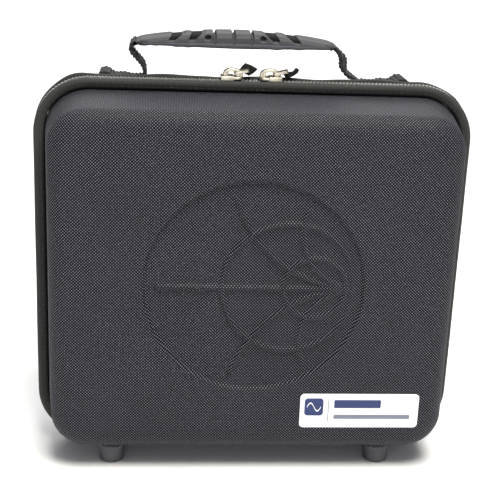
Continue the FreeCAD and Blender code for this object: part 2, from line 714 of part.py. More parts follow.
def handle_webbing():
    """Carrying strap: a leg at each end and a flat run through the grip."""
    root = size("anchor_inner") - size("anchor_gap") * 3 - size("strap_thick") / 2
    pivot = pivot_height()
    rise = sheet_value(SLOT_MIDDLE) - pivot
    low = size("pivot_radius")
    path = [(-root, pivot - low), (-root, pivot + LEFT_UPRIGHT * rise)]
    for outwards, share in LEFT_BENDS:
        path.append((sheet_value(GRIP_LEFT) - outwards, pivot + share * rise))
    for outwards, share in RIGHT_BENDS:
        path.append((sheet_value(GRIP_RIGHT) + outwards, pivot + share * rise))
    path += [(root, pivot + RIGHT_UPRIGHT * rise), (root, pivot - low)]
    outline = thick_line(path, size("strap_thick"))
    strip = Part.Face(Part.makePolygon(outline + outline[:1]))
    strip = strip.extrude(Vector(0, size("strap_width"), 0))
    strip.translate(Vector(0, size("strap_setback"), 0))
    middle = sheet_value(STRAP_MIDDLE)
    wide = size("strap_width")
    over = pivot + 2 * rise
    full = pivot + FULL_WIDTH * rise
    half = wide / 2 + size("strap_thick")
    profile = [
        Vector(0, middle - low, pivot - 2 * low),
        Vector(0, middle + low, pivot - 2 * low),
        Vector(0, middle + low, pivot),
        Vector(0, middle + half, full),
        Vector(0, middle + half, over),
        Vector(0, middle - half, over),
        Vector(0, middle - half, full),
        Vector(0, middle - low, pivot),
    ]
    span = size("case_width")
    neck = Part.Face(Part.makePolygon(profile + profile[:1])).extrude(Vector(span, 0, 0))
    neck.translate(Vector(-span / 2, 0, 0))
    below = Part.makeBox(span, 4 * low, 4 * low, Vector(-span / 2, middle - 2 * low, pivot - 4 * low))
    rod = Part.makeCylinder(low, span, Vector(-span / 2, middle, pivot), Vector(1, 0, 0))
    item = doc.addObject("Part::Feature", "handle_webbing")
    item.Shape = strip.common(neck).cut(below.cut(rod)).removeSplitter()
    item.Placement = FreeCAD.Placement()
    keep(item, "handle_webbing")


def handle_grip():
    """Moulded grip: flat below, arched above, with a slot for the strap."""
    body = new_body("handle_grip")
    sketch = new_sketch(body, "grip_side", "XZ_Plane",
                        "-(%s + %s / 2)" % (STRAP_MIDDLE, GRIP_WIDTH))
    left, right = sheet_value(GRIP_LEFT), sheet_value(GRIP_RIGHT)
    low = sheet_value(GRIP_LOW)
    end = low + size("grip_end_thick")
    rise = size("grip_thick") - size("grip_end_thick")
    arch = Part.Arc(Vector(right, end, 0), Vector((left + right) / 2, end + rise, 0),
                    Vector(left, end, 0))
    sketch.addGeometry(Part.LineSegment(Vector(left, low, 0), Vector(right, low, 0)), False)
    sketch.addGeometry(Part.LineSegment(Vector(right, low, 0), Vector(right, end, 0)), False)
    sketch.addGeometry(arch, False)
    sketch.addGeometry(Part.LineSegment(Vector(left, end, 0), Vector(left, low, 0)), False)
    for first, second, second_end in ((0, 1, 1), (1, 2, 1), (2, 3, 1), (3, 0, 1)):
        sketch.addConstraint(Constraint("Coincident", first, 2, second, second_end))
    sketch.addConstraint(Constraint("Horizontal", 0))
    sketch.addConstraint(Constraint("Vertical", 1))
    sketch.addConstraint(Constraint("Vertical", 3))
    bind(sketch, Constraint("DistanceX", -1, 1, 0, 1, left), GRIP_LEFT)
    bind(sketch, Constraint("DistanceX", -1, 1, 0, 2, right), GRIP_RIGHT)
    bind(sketch, Constraint("DistanceY", -1, 1, 0, 1, low), GRIP_LOW)
    bind(sketch, Constraint("DistanceY", 1, 1, 1, 2, end - low), "sizes.grip_end_thick")
    bind(sketch, Constraint("DistanceY", 3, 2, 3, 1, end - low), "sizes.grip_end_thick")
    bulge = "(sizes.grip_thick - sizes.grip_end_thick)"
    reach = "(sizes.grip_length ^ 2 / 4 + %s ^ 2) / (2 * %s)" % (bulge, bulge)
    bind(sketch, Constraint("Radius", 2, sheet_value(reach)), reach)
    add_solid(body, "Pad", sketch, GRIP_WIDTH, FRONT)
    doc.recompute()
    base = body.Tip
    long_edges = [
        "Edge%d" % number
        for number, edge in enumerate(base.Shape.Edges, start=1)
        if edge.BoundBox.XLength > size("grip_length") / 2
    ]
    fillet = body.newObject("PartDesign::Fillet", "grip_edges")
    fillet.Base = (base, long_edges)
    fillet.setExpression("Radius", "sizes.grip_round")
    slot = new_sketch(body, "strap_slot", "YZ_Plane", GRIP_RIGHT + " + sizes.grip_play")
    half = "(sizes.strap_width / 2 + sizes.grip_play)"
    play = "(sizes.strap_thick / 2 + sizes.grip_play)"
    rounded_rectangle(slot, "%s - %s" % (STRAP_MIDDLE, half), "%s + %s" % (STRAP_MIDDLE, half),
                      "%s - %s" % (SLOT_MIDDLE, play), "%s + %s" % (SLOT_MIDDLE, play),
                      "sizes.grip_play")
    doc.recompute()
    before = body.Shape.Volume
    pocket = body.newObject("PartDesign::Pocket", "strap_slot_pocket")
    pocket.Profile = slot
    pocket.setExpression("Length", "sizes.grip_length + 2 * sizes.grip_play")
    doc.recompute()
    if body.Shape.Volume > before - LEAST_CUT:
        raise RuntimeError("strap slot cuts nothing")


def centred_box(name, middle, length, half_width, low, high):
    """A box centred on a slider in x and on the zip plane in y."""
    return box(name, (length, "2 * (%s)" % half_width, "(%s) - (%s)" % (high, low)),
               ("(%s) - (%s) / 2" % (middle, length), "-(%s)" % half_width, low))


def slider(hand):
    """Zip slider: plate above the teeth, shoe below the tape, bridge for the pull.

    The front edge is open, so the lid's row of teeth can leave it.
    """
    name = hand + "_slider"
    middle = SLIDERS[hand]
    plate = centred_box(name + "_plate", middle, "sizes.slider_length", "sizes.slider_width / 2",
                        PLATE_LOW, PLATE_TOP)
    shoe = centred_box(name + "_shoe", middle, "sizes.slider_length",
                       "sizes.tooth_gap + sizes.tooth_reach", SHOE_TOP + " - sizes.shoe_thick", SHOE_TOP)
    post = centred_box(name + "_post", middle, "sizes.slider_length / 3",
                       "sizes.tooth_gap - sizes.post_play", SHOE_TOP, PLATE_LOW)
    lip = box(name + "_lip", ("sizes.slider_length", "sizes.lip_thick", "sizes.lip_drop"),
              (middle + " - sizes.slider_length / 2",
               "sizes.tooth_gap + sizes.tooth_reach + sizes.post_play",
               PLATE_LOW + " - sizes.lip_drop"))
    bridge = centred_box(name + "_bridge", middle, "sizes.bridge_length", "sizes.bridge_width / 2",
                         PLATE_TOP, PLATE_TOP + " + sizes.bridge_height")
    window = centred_box(name + "_window", middle, "sizes.bridge_length - 2 * sizes.bridge_wall",
                         "sizes.bridge_width", PLATE_TOP,
                         PLATE_TOP + " + sizes.bridge_height - sizes.bridge_wall")
    arch = cut(name + "_arch", bridge, window)
    keep(join(name, [plate, shoe, post, lip, arch]), name)


def lean_pull(item, hand):
    """Turn a piece drawn flat along x about the pull's cross bar."""
    pin_x = sheet_value(SLIDERS[hand]) + size("pin_place")
    pin_z = sheet_value(PLATE_TOP) + size("pin_rise")
    item.Placement = FreeCAD.Placement(
        Vector(pin_x, 0, pin_z), FreeCAD.Rotation(Vector(0, -1, 0), size("pull_lean")))


def pull_tab(hand):
    """Metal loop: cross bar under the bridge, two arms and an end plate."""
    inner = size("bridge_width") / 2 + size("pull_play")
    outer = inner + size("pull_arm")
    thick = size("pull_thick")
    reach = size("pull_reach")
    bar = Part.makeCylinder(size("pull_pin"), 2 * outer, Vector(0, -outer, 0), Vector(0, 1, 0))
    loop = bar
    for start in (-outer, inner):
        arm = Part.makeBox(reach, size("pull_arm"), thick, Vector(0, start, -thick / 2))
        loop = loop.fuse(arm)
    plate = Part.makeBox(size("pull_plate"), 2 * outer, thick, Vector(reach, -outer, -thick / 2))
    item = doc.addObject("Part::Feature", hand + "_pull_tab")
    item.Shape = loop.fuse(plate).removeSplitter()
    lean_pull(item, hand)
    keep(item, hand + "_pull_tab")


def pull_cord(hand):
    """Folded fabric end of the pull, sewn against the end plate."""
    width = size("cord_width")
    thick = size("cord_thick")
    start = size("pull_reach") + size("pull_plate")
    cloth = Part.makeBox(size("cord_length"), width, thick, Vector(start, -width / 2, -thick / 2))
    upright = [edge for edge in cloth.Edges if edge.BoundBox.ZLength > thick / 2]
    tip = [edge for edge in upright if edge.BoundBox.XMin > start]
    item = doc.addObject("Part::Feature", hand + "_pull_cord")
    item.Shape = cloth.makeFillet(width / 3, tip)
    lean_pull(item, hand)
    keep(item, hand + "_pull_cord")


def check_and_export():
    """Stop on any failed object, then write one STEP file per sub-part."""
    doc.recompute()
    for item in doc.Objects:
        if "Invalid" in item.State or "Error" in item.State:
            sys.exit("failed object: " + item.Label)
    for item in SUBPARTS:
        if item.Shape.isNull() or not item.Shape.isValid():
            sys.exit("bad shape: " + item.Label)
    os.makedirs("parts", exist_ok=True)
    for item in SUBPARTS:
        item.Shape.exportStep("parts/%s.step" % item.Label)
        print(item.Label, len(item.Shape.Solids), round(item.Shape.Volume))
    print("pivot of the handle at z =", round(pivot_height(), 3))


rear_shell()
front_shell()
name_badge()
for side in (REAR, FRONT):
    binding(side)
    zip_tape(side)
    zip_teeth(side)
    lining(side)
    for hand in FEET:
        foot(side, hand)
    foot_fasteners(side)
hinge_tape()
foam_base()
foam_frame()
foam_dividers()
net_pocket()
handle_anchors()
handle_backing_plate()
handle_webbing()
handle_grip()
for hand in SLIDERS:
    slider(hand)
    pull_tab(hand)
    pull_cord(hand)
check_and_export()
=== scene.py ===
"""Looks of a zippered, moulded carry case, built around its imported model."""

import logging
import math
from dataclasses import dataclass, field
from enum import Enum
from typing import Iterable, Sequence

import bmesh
import bpy
from mathutils import Matrix, Vector


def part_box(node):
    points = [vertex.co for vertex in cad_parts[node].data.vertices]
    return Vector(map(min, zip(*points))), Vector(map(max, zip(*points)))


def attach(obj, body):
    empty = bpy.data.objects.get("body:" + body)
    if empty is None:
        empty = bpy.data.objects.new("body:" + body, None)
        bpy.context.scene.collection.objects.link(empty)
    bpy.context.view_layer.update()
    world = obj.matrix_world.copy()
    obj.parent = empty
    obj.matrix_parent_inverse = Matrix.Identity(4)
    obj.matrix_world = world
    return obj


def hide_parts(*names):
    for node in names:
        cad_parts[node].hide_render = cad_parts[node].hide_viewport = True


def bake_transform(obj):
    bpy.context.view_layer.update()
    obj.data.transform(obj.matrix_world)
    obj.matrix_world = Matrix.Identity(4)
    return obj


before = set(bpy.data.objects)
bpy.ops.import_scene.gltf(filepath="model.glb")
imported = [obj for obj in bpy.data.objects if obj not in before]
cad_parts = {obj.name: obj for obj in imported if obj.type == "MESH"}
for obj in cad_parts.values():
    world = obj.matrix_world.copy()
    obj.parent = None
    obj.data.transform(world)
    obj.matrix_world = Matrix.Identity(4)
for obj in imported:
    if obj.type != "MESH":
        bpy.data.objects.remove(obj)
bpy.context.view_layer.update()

MM = 0.001
WEAVE = "weave"  # vertex attribute with a cloth's flat coordinates, in metres
log = logging.getLogger("carry_case")


class Side(Enum):
    """The two halves of the case; the value is the sign of y."""

    FRONT = -1
    REAR = 1

    @property
    def word(self) -> str:
        """The half's name in the frame's nodes."""
        return "front" if self is Side.FRONT else "rear"

    @property
    def body(self) -> str:
        """The frame's body that carries this half."""
        return "lid" if self is Side.FRONT else "rear_case"


class Hand(Enum):
    """Left or right as seen from the front; the value is the sign of x."""

    LEFT = -1
    RIGHT = 1

    @property
    def word(self) -> str:
        """The hand's name in the frame's nodes."""
        return self.name.lower()


class Coordinates(Enum):
    """Where a pattern gets its place from."""

    OBJECT = "Object"
    WEAVE = WEAVE


# ---------------------------------------------------------------- materials


def srgb(code: str) -> tuple[float, float, float, float]:
    """An sRGB hex colour as a linear one.

    Args:
        code: six hex digits.

    Returns:
        Red, green, blue and alpha for a shader socket.
    """
    parts = [int(code[i : i + 2], 16) / 255 for i in (0, 2, 4)]
    linear = [p / 12.92 if p <= 0.04045 else ((p + 0.055) / 1.055) ** 2.4 for p in parts]
    return (linear[0], linear[1], linear[2], 1.0)


def add_node(tree: bpy.types.NodeTree, kind: str, inputs: dict | None = None,
             **settings) -> bpy.types.Node:
    """Add a shader node.

    Args:
        tree: the material's node tree.
        kind: node class without its ShaderNode prefix.
        inputs: socket name or number to a constant, or to an output socket to link.
        settings: the node's own properties.

    Returns:
        The new node.
    """
    node = tree.nodes.new("ShaderNode" + kind)
    for name, value in settings.items():
        setattr(node, name, value)
    for name, value in (inputs or {}).items():
        if isinstance(value, bpy.types.NodeSocket):
            tree.links.new(value, node.inputs[name])
        else:
            node.inputs[name].default_value = value
    return node


@dataclass(frozen=True)
class Finish:
    """A surface that starts from the real material: colour, gloss and grain."""

    name: str
    slot: str
    colour: str
    roughness: float
    light: str = ""
    ior: float = 1.5
    metallic: float = 0.0
    sheen: float = 0.0
    sheen_roughness: float = 0.5
    specular: float = 0.5
    depth: float = 0.1  # mm of relief in the pattern

    def pattern(self, tree: bpy.types.NodeTree) -> tuple:
        """The share of the light colour and the height, as two sockets."""
        raise NotImplementedError

    def material(self) -> bpy.types.Material:
        """Build the material, or find it when it is built.

        Returns:
            The material that has this finish's name.
        """
        found = bpy.data.materials.get(self.name)
        if found:
            return found
        made = bpy.data.materials.new(self.name)
        made.use_nodes = True
        tree = made.node_tree
        shader = tree.nodes["Principled BSDF"]
        share, height = self.pattern(tree)
        ramp = add_node(tree, "Mix", {0: share, 6: srgb(self.colour),
                                      7: srgb(self.light or self.colour)}, data_type="RGBA")
        bump = add_node(tree, "Bump", {"Strength": 1.0, "Distance": self.depth * MM,
                                       "Height": height})
        tree.links.new(ramp.outputs[2], shader.inputs["Base Color"])
        tree.links.new(bump.outputs["Normal"], shader.inputs["Normal"])
        shader.inputs["Roughness"].default_value = self.roughness
        shader.inputs["Metallic"].default_value = self.metallic
        shader.inputs["Specular IOR Level"].default_value = self.specular
        if not self.metallic:
            shader.inputs["IOR"].default_value = self.ior
        shader.inputs["Sheen Weight"].default_value = self.sheen
        shader.inputs["Sheen Roughness"].default_value = self.sheen_roughness
        return made


def place(tree: bpy.types.NodeTree, source: Coordinates, scale: Sequence[float],
          turn: Sequence[float] = (0, 0, 0)) -> bpy.types.NodeSocket:
    """Scaled and turned pattern coordinates.

    Args:
        tree: the material's node tree.
        source: object coordinates or the cloth's own.
        scale: repeats per metre along each axis.
        turn: rotation in degrees before the scale.

    Returns:
        A vector socket.
    """
    if source is Coordinates.OBJECT:
        vector = add_node(tree, "TexCoord").outputs["Object"]
    else:
        vector = add_node(tree, "Attribute", attribute_name=WEAVE).outputs["Vector"]
    turned = add_node(tree, "Mapping", {"Vector": vector,
                                        "Rotation": [math.radians(a) for a in turn]})
    scaled = add_node(tree, "Mapping", {"Vector": turned.outputs[0], "Scale": list(scale)})
    return scaled.outputs[0]


def waves(tree: bpy.types.NodeTree, vector: bpy.types.NodeSocket) -> list[bpy.types.NodeSocket]:
    """A sine of each coordinate, one full wave for each unit.

    Args:
        tree: the material's node tree.
        vector: the pattern's coordinates.

    Returns:
        Three sockets, each from -1 to 1.
    """
    split = add_node(tree, "SeparateXYZ", {0: vector})
    found = []
    for axis in range(3):
        angle = add_node(tree, "Math", {0: split.outputs[axis], 1: math.tau}, operation="MULTIPLY")
        found.append(add_node(tree, "Math", {0: angle.outputs[0]}, operation="SINE").outputs[0])
    return found


def mathed(tree: bpy.types.NodeTree, operation: str, *values) -> bpy.types.NodeSocket:
    """The output socket of a math node on sockets or numbers."""
    return add_node(tree, "Math", dict(enumerate(values)), operation=operation).outputs[0]


def noise(tree: bpy.types.NodeTree, vector: bpy.types.NodeSocket, scale: float,
          detail: float = 2.0) -> bpy.types.NodeSocket:
    """Noise from 0 to 1 on a vector socket."""
    node = add_node(tree, "TexNoise", {"Vector": vector, "Scale": scale, "Detail": detail})
    return node.outputs[0]


@dataclass(frozen=True)
class Woven(Finish):
    """Threads that cross: raised dots where one passes over another."""

    pitch: float = 1.6  # mm between threads
    turn: float = 45.0  # degrees between the threads and the piece
    depth: float = 0.18  # mm
    source: Coordinates = Coordinates.WEAVE
    fleck: float = 0.5  # how unevenly the threads catch light
    crisp: float = 1.7  # above 1, narrower light threads

    def pattern(self, tree: bpy.types.NodeTree) -> tuple:
        """Dots of the weave, uneven from thread to thread.

        Args:
            tree: the material's node tree.

        Returns:
            The share of the light colour and the height, as sockets.
        """
        per_metre = 1 / (self.pitch * MM)
        turn = (0, 0, self.turn) if self.source is Coordinates.WEAVE else (0, self.turn, 0)
        vector = place(tree, self.source, (per_metre,) * 3, turn)
        first, second, third = waves(tree, vector)
        total = mathed(tree, "ADD", mathed(tree, "ADD", first, second), third)
        # On a flat cloth the sum runs from -2 to 2, which this brings just inside 0 to 1.
        dots = mathed(tree, "POWER", mathed(tree, "MULTIPLY_ADD", total, 0.24, 0.5), self.crisp)
        by_thread, by_patch = noise(tree, vector, 0.9), noise(tree, vector, 0.03)
        uneven = mathed(tree, "MULTIPLY_ADD", by_thread, 2 * self.fleck, 1 - self.fleck)
        broad = mathed(tree, "MULTIPLY_ADD", by_patch, 0.3, 0.85)
        share = mathed(tree, "MULTIPLY", mathed(tree, "MULTIPLY", dots, uneven), broad)
        return share, mathed(tree, "MULTIPLY", dots, uneven)


@dataclass(frozen=True)
class Ribbed(Finish):
    """Tape or webbing: ribs across its length with a finer thread between."""

    pitch: float = 1.8  # mm between ribs
    thread: float = 0.9  # mm between warp threads
    depth: float = 0.25  # mm
    source: Coordinates = Coordinates.WEAVE

    def pattern(self, tree: bpy.types.NodeTree) -> tuple:
        """Ribs along x, threads along y and z.

        Args:
            tree: the material's node tree.

        Returns:
            The share of the light colour and the height, as sockets.
        """
        scale = (1 / (self.pitch * MM), 1 / (self.thread * MM), 1 / (self.thread * MM))
        vector = place(tree, self.source, scale)
        ribs, warp, _ = waves(tree, vector)
        total = mathed(tree, "MULTIPLY_ADD", warp, 0.35, ribs)
        height = mathed(tree, "MULTIPLY_ADD", total, 0.35, 0.5)
        uneven = mathed(tree, "MULTIPLY_ADD", noise(tree, vector, 0.7), 0.8, 0.6)
        return mathed(tree, "MULTIPLY", height, uneven), height


@dataclass(frozen=True)
class Grained(Finish):
    """Moulded, pressed or felted surface: fine grain and broader unevenness."""

    grain: float = 0.6  # mm
    depth: float = 0.05  # mm
    blotch: float = 20.0  # mm

    def pattern(self, tree: bpy.types.NodeTree) -> tuple:
        """Fine grain over slow changes of tone.

        Args:
            tree: the material's node tree.

        Returns:
            The share of the light colour and the height, as sockets.
        """
        vector = place(tree, Coordinates.OBJECT, (1 / (self.grain * MM),) * 3)
        fine = noise(tree, vector, 1.0, 3.0)
        slow = noise(tree, vector, self.grain / self.blotch)
        share = mathed(tree, "MULTIPLY_ADD", fine, 0.5, mathed(tree, "MULTIPLY", slow, 0.5))
        return share, fine


@dataclass(frozen=True)
class Plated(Finish):
    """Cast and nickel-plated metal: soft gloss with fine polishing scratches."""

    scratch: float = 0.5  # mm across the polishing lines
    depth: float = 0.01  # mm
    stretch: float = 12.0  # how much longer than wide a polishing line is

    def pattern(self, tree: bpy.types.NodeTree) -> tuple:
        """Stretched noise that runs along x.

        Args:
            tree: the material's node tree.

        Returns:
            The share of the light colour and the height, as sockets.
        """
        fine = 1 / (self.scratch * MM)
        vector = place(tree, Coordinates.OBJECT, (fine / self.stretch, fine, fine))
        lines = noise(tree, vector, 1.0, 3.0)
        return lines, lines


# Ballistic nylon laminated on moulded foam board: coarse basket weave whose threads
# catch light as cool specks. The thread pitch is drawn a little coarse so that it shows.
SHELL_CLOTH = Woven("ballistic_nylon", "shell_cloth", "010102", 0.6, "9897A8", sheen=0.01,
                    specular=0.14, pitch=1.5, turn=45, depth=0.26, crisp=5.4, fleck=0.75)
# Polyester grosgrain tape folded over the edge: finer, greener black, nearly matt.
BINDING_CLOTH = Ribbed("grosgrain_binding", "binding_cloth", "131312", 0.75, "40403E",
                       sheen=0.08, specular=0.3, pitch=0.8, thread=0.9, depth=0.07)
# The same tape as a flat strip, whose weave shows more than its ribs.
HINGE_CLOTH = Woven("grosgrain_hinge", "binding_cloth", "202120", 0.75, "454545", pitch=1.2,
                    depth=0.1, source=Coordinates.OBJECT)
# Woven polyester zip tape: flat black with fine threads.
ZIP_CLOTH = Woven("zip_tape", "zip_cloth", "070708", 0.8, "1C1C1E", specular=0.25, pitch=0.9,
                  depth=0.06, turn=0, source=Coordinates.OBJECT)
# Extruded nylon coil: smooth black with small bright glints.
ZIP_COIL = Grained("nylon_coil", "zip_coil", "2C2C2D", 0.25, "A2A2A0", grain=1.4, depth=0.02)
# Brushed tricot lining: soft nap, no visible thread.
LINING = Grained("brushed_tricot", "lining_cloth", "121214", 0.95, "26262A", sheen=0.35,
                 grain=0.5, depth=0.12)
# Closed-cell polyethylene foam, cut by water jet: open cells on every face.
FOAM = Grained("cut_foam", "insert_foam", "151517", 0.92, "2B2B2F", grain=0.9, depth=0.2)
# Polypropylene webbing: strong cross ribs with a slight gloss on each yarn.
WEBBING = Ribbed("polypropylene_webbing", "strap_webbing", "040404", 0.65, "303033",
                 specular=0.25, pitch=1.9, thread=1.1, depth=0.35)
# High-density polyethylene strip, die-cut: smooth, a little waxy.
BACKING = Grained("sheet_plastic", "backing_plastic", "17171A", 0.5, "222226", depth=0.02)
# Moulded rubber, satin from a fine spark-eroded mould.
FOOT_RUBBER = Grained("moulded_rubber", "foot_rubber", "39393D", 0.5, "515157", grain=0.35,
                      depth=0.03)
# Zinc-plated steel: pale grey, slightly bluish.
SCREW_STEEL = Plated("zinc_plate", "screw_steel", "9A9CA0", 0.35, "C6C8CC", metallic=1.0)
# Knitted polyester net: thin black threads, satin. Its mesh is drawn coarse so that it shows.
NET = Grained("polyester_net", "net_cloth", "0F0F10", 0.7, "2A2A2C", grain=0.4, depth=0.05)
# Woven elastic: lengthwise cords.
ELASTIC = Ribbed("woven_elastic", "elastic_hem", "121213", 0.8, "303033", pitch=1.4, thread=1.0,
                 depth=0.15, source=Coordinates.OBJECT)
# Printed polycarbonate label: bright white under a clear gloss.
BADGE_WHITE = Grained("label_white", "badge_plastic", "EDEEEE", 0.35, "F7F8F8", grain=3,
                      depth=0.005)
BADGE_NAVY = Grained("label_navy", "badge_plastic", "1C2C5E", 0.4, "24356B", grain=3, depth=0.005)
BADGE_GREY = Grained("label_grey", "badge_plastic", "6E7684", 0.4, "7C8492", grain=3, depth=0.005)
# Thermoplastic rubber over a stiff core: satin, greyer than the cloth where it is worn.
GRIP_RUBBER = Grained("overmoulded_rubber", "grip_rubber", "1F1F22", 0.55, "3E3E43", specular=0.3,
                     grain=0.5, depth=0.05)
# The same rubber darkened: painted shade in the moulded grooves and painted shadow along the
# grip's underside.
GRIP_PAINTED_SHADE = Grained("grip_painted_shade", "grip_rubber", "030303", 0.8, "08080A", specular=0.15,
                      grain=0.5, depth=0.06)
# The same rubber painted paler below the parting line: painted bounce light from the floor.
GRIP_LOWER = Grained("grip_painted_bounce", "grip_rubber", "4C4C52", 0.5, "76757E", specular=0.35,
                     grain=0.5, depth=0.05)
# Die-cast zinc with a warm nickel plating.
SLIDER_METAL = Plated("nickel_plate", "slider_metal", "B3AC9B", 0.34, "D8D2C2", metallic=1.0)
# Braided polyester cord end.
PULL_CLOTH = Woven("braided_pull", "pull_cloth", "040404", 0.7, "161618", specular=0.25,
                   pitch=1.1, depth=0.2, source=Coordinates.OBJECT)
# Bonded polyester sewing thread: tight, slightly glossy.
THREAD = Grained("sewing_thread", "binding_cloth", "161617", 0.5, "3A3A3C", grain=0.4, depth=0.05)


# ------------------------------------------------------------- mesh helpers


@dataclass(frozen=True)
class Extent:
    """A box in mm: left and right in x, front and back in y, low and high in z."""

    left: float
    right: float
    front: float
    back: float
    low: float
    high: float

    @classmethod
    def of(cls, node: str) -> "Extent":
        """The extent of one of the frame's nodes."""
        low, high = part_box(node)
        return cls(low.x / MM, high.x / MM, low.y / MM, high.y / MM, low.z / MM, high.z / MM)

    @property
    def middle(self) -> tuple[float, float, float]:
        """The box's middle."""
        return ((self.left + self.right) / 2, (self.front + self.back) / 2,
                (self.low + self.high) / 2)


def add_piece(bm: bmesh.types.BMesh, name: str, finish: Finish, body: str,
              nodes: Iterable[str] = (), smooth: bool = True,
              outward: bool = True) -> bpy.types.Object:
    """Turn a bmesh into a piece that rides on a body.

    Args:
        bm: the mesh, in metres, in the frame's own place.
        name: the piece's name.
        finish: what it is made of.
        body: the body that it moves with, or nothing for a piece that is blended.
        nodes: CAD nodes that it stands for.
        smooth: shade smoothly.
        outward: recalculate the normals first.

    Returns:
        The new object.
    """
    if outward:
        bmesh.ops.recalc_face_normals(bm, faces=bm.faces)
    mesh = bpy.data.meshes.new(name)
    bm.to_mesh(mesh)
    bm.free()
    mesh.polygons.foreach_set("use_smooth", [smooth] * len(mesh.polygons))
    item = bpy.data.objects.new(name, mesh)
    bpy.context.scene.collection.objects.link(item)
    mesh.materials.append(finish.material())
    if body:
        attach(item, body)
    if nodes:
        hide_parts(*nodes)
    log.info("piece %s on %s", name, body or "a blend")
    return item


def modifier(item: bpy.types.Object, kind: str, **settings) -> None:
    """Add a modifier.

    Args:
        item: the piece.
        kind: Blender's name for the modifier.
        settings: the modifier's own properties.
    """
    made = item.modifiers.new(kind.lower(), kind)
    for name, value in settings.items():
        setattr(made, name, value)


def soften(item: bpy.types.Object, width: float, segments: int = 2, angle: float = 35) -> None:
    """Round a piece's sharp edges.

    Args:
        item: the piece.
        width: bevel width in mm.
        segments: number of facets across the round.
        angle: edges sharper than this many degrees are rounded.
    """
    modifier(item, "BEVEL", width=width * MM, segments=segments, limit_method="ANGLE",
             angle_limit=math.radians(angle), use_clamp_overlap=True)


def block(bm: bmesh.types.BMesh, low: Sequence[float], high: Sequence[float]) -> list:
    """A box between two corners.

    Args:
        bm: the mesh.
        low: its lowest corner in mm.
        high: its highest corner in mm.

    Returns:
        The new vertices.
    """
    made = bmesh.ops.create_cube(bm, size=1)["verts"]
    low_m, high_m = Vector(low) * MM, Vector(high) * MM
    bmesh.ops.scale(bm, verts=made, vec=high_m - low_m)
    bmesh.ops.translate(bm, verts=made, vec=(low_m + high_m) / 2)
    return made


def rounded_block(bm: bmesh.types.BMesh, low: Sequence[float], high: Sequence[float],
                  corner: float) -> None:
    """A box between two corners, with its upright edges rounded.

    Args:
        bm: the mesh.
        low: its lowest corner in mm.
        high: its highest corner in mm.
        corner: radius of the rounded edges in mm.
    """
    made = block(bm, low, high)
    tall = (high[2] - low[2]) / 2 * MM
    uprights = {e for v in made for e in v.link_edges
                if abs(e.verts[0].co.z - e.verts[1].co.z) > tall}
    bmesh.ops.bevel(bm, geom=list(uprights), offset=corner * MM, segments=5, profile=0.5,
                    affect="EDGES", material=-1)


def lathe(bm: bmesh.types.BMesh, profile: Sequence[tuple[float, float]], axis: Vector,
          steps: int = 48) -> None:
    """Turn a profile about a vertical axis.

    Args:
        bm: the mesh.
        profile: (radius, height) in mm, in order along the section.
        axis: a point on the axis, in metres.
        steps: facets around.
    """
    before = set(bm.verts)
    points = [bm.verts.new((axis.x + r * MM, axis.y, z * MM)) for r, z in profile]
    edges = [bm.edges.new(pair) for pair in zip(points, points[1:])]
    bmesh.ops.spin(bm, geom=points + edges, cent=axis, axis=(0, 0, 1), angle=math.tau,
                   steps=steps, use_merge=True)
    made = [v for v in bm.verts if v not in before]
    bmesh.ops.remove_doubles(bm, verts=made, dist=0.01 * MM)


def add_stitch(bm: bmesh.types.BMesh, spot: Vector, along: Vector, length: float,
               thread: float = 0.9) -> None:
    """One stitch, as a short thread with rounded ends.

    Args:
        bm: the mesh.
        spot: its middle in metres.
        along: its direction.
        length: in mm.
        thread: diameter in mm.
    """
    turned = Matrix.Translation(spot) @ along.to_track_quat("X", "Z").to_matrix().to_4x4()
    size = Matrix.Diagonal((length / thread, 1, 1, 1))
    bmesh.ops.create_icosphere(bm, subdivisions=1, radius=thread / 2 * MM, matrix=turned @ size)


def smoothstep(value: float) -> float:
    """A soft step from 0 to 1."""
    held = min(max(value, 0.0), 1.0)
    return held * held * (3 - 2 * held)


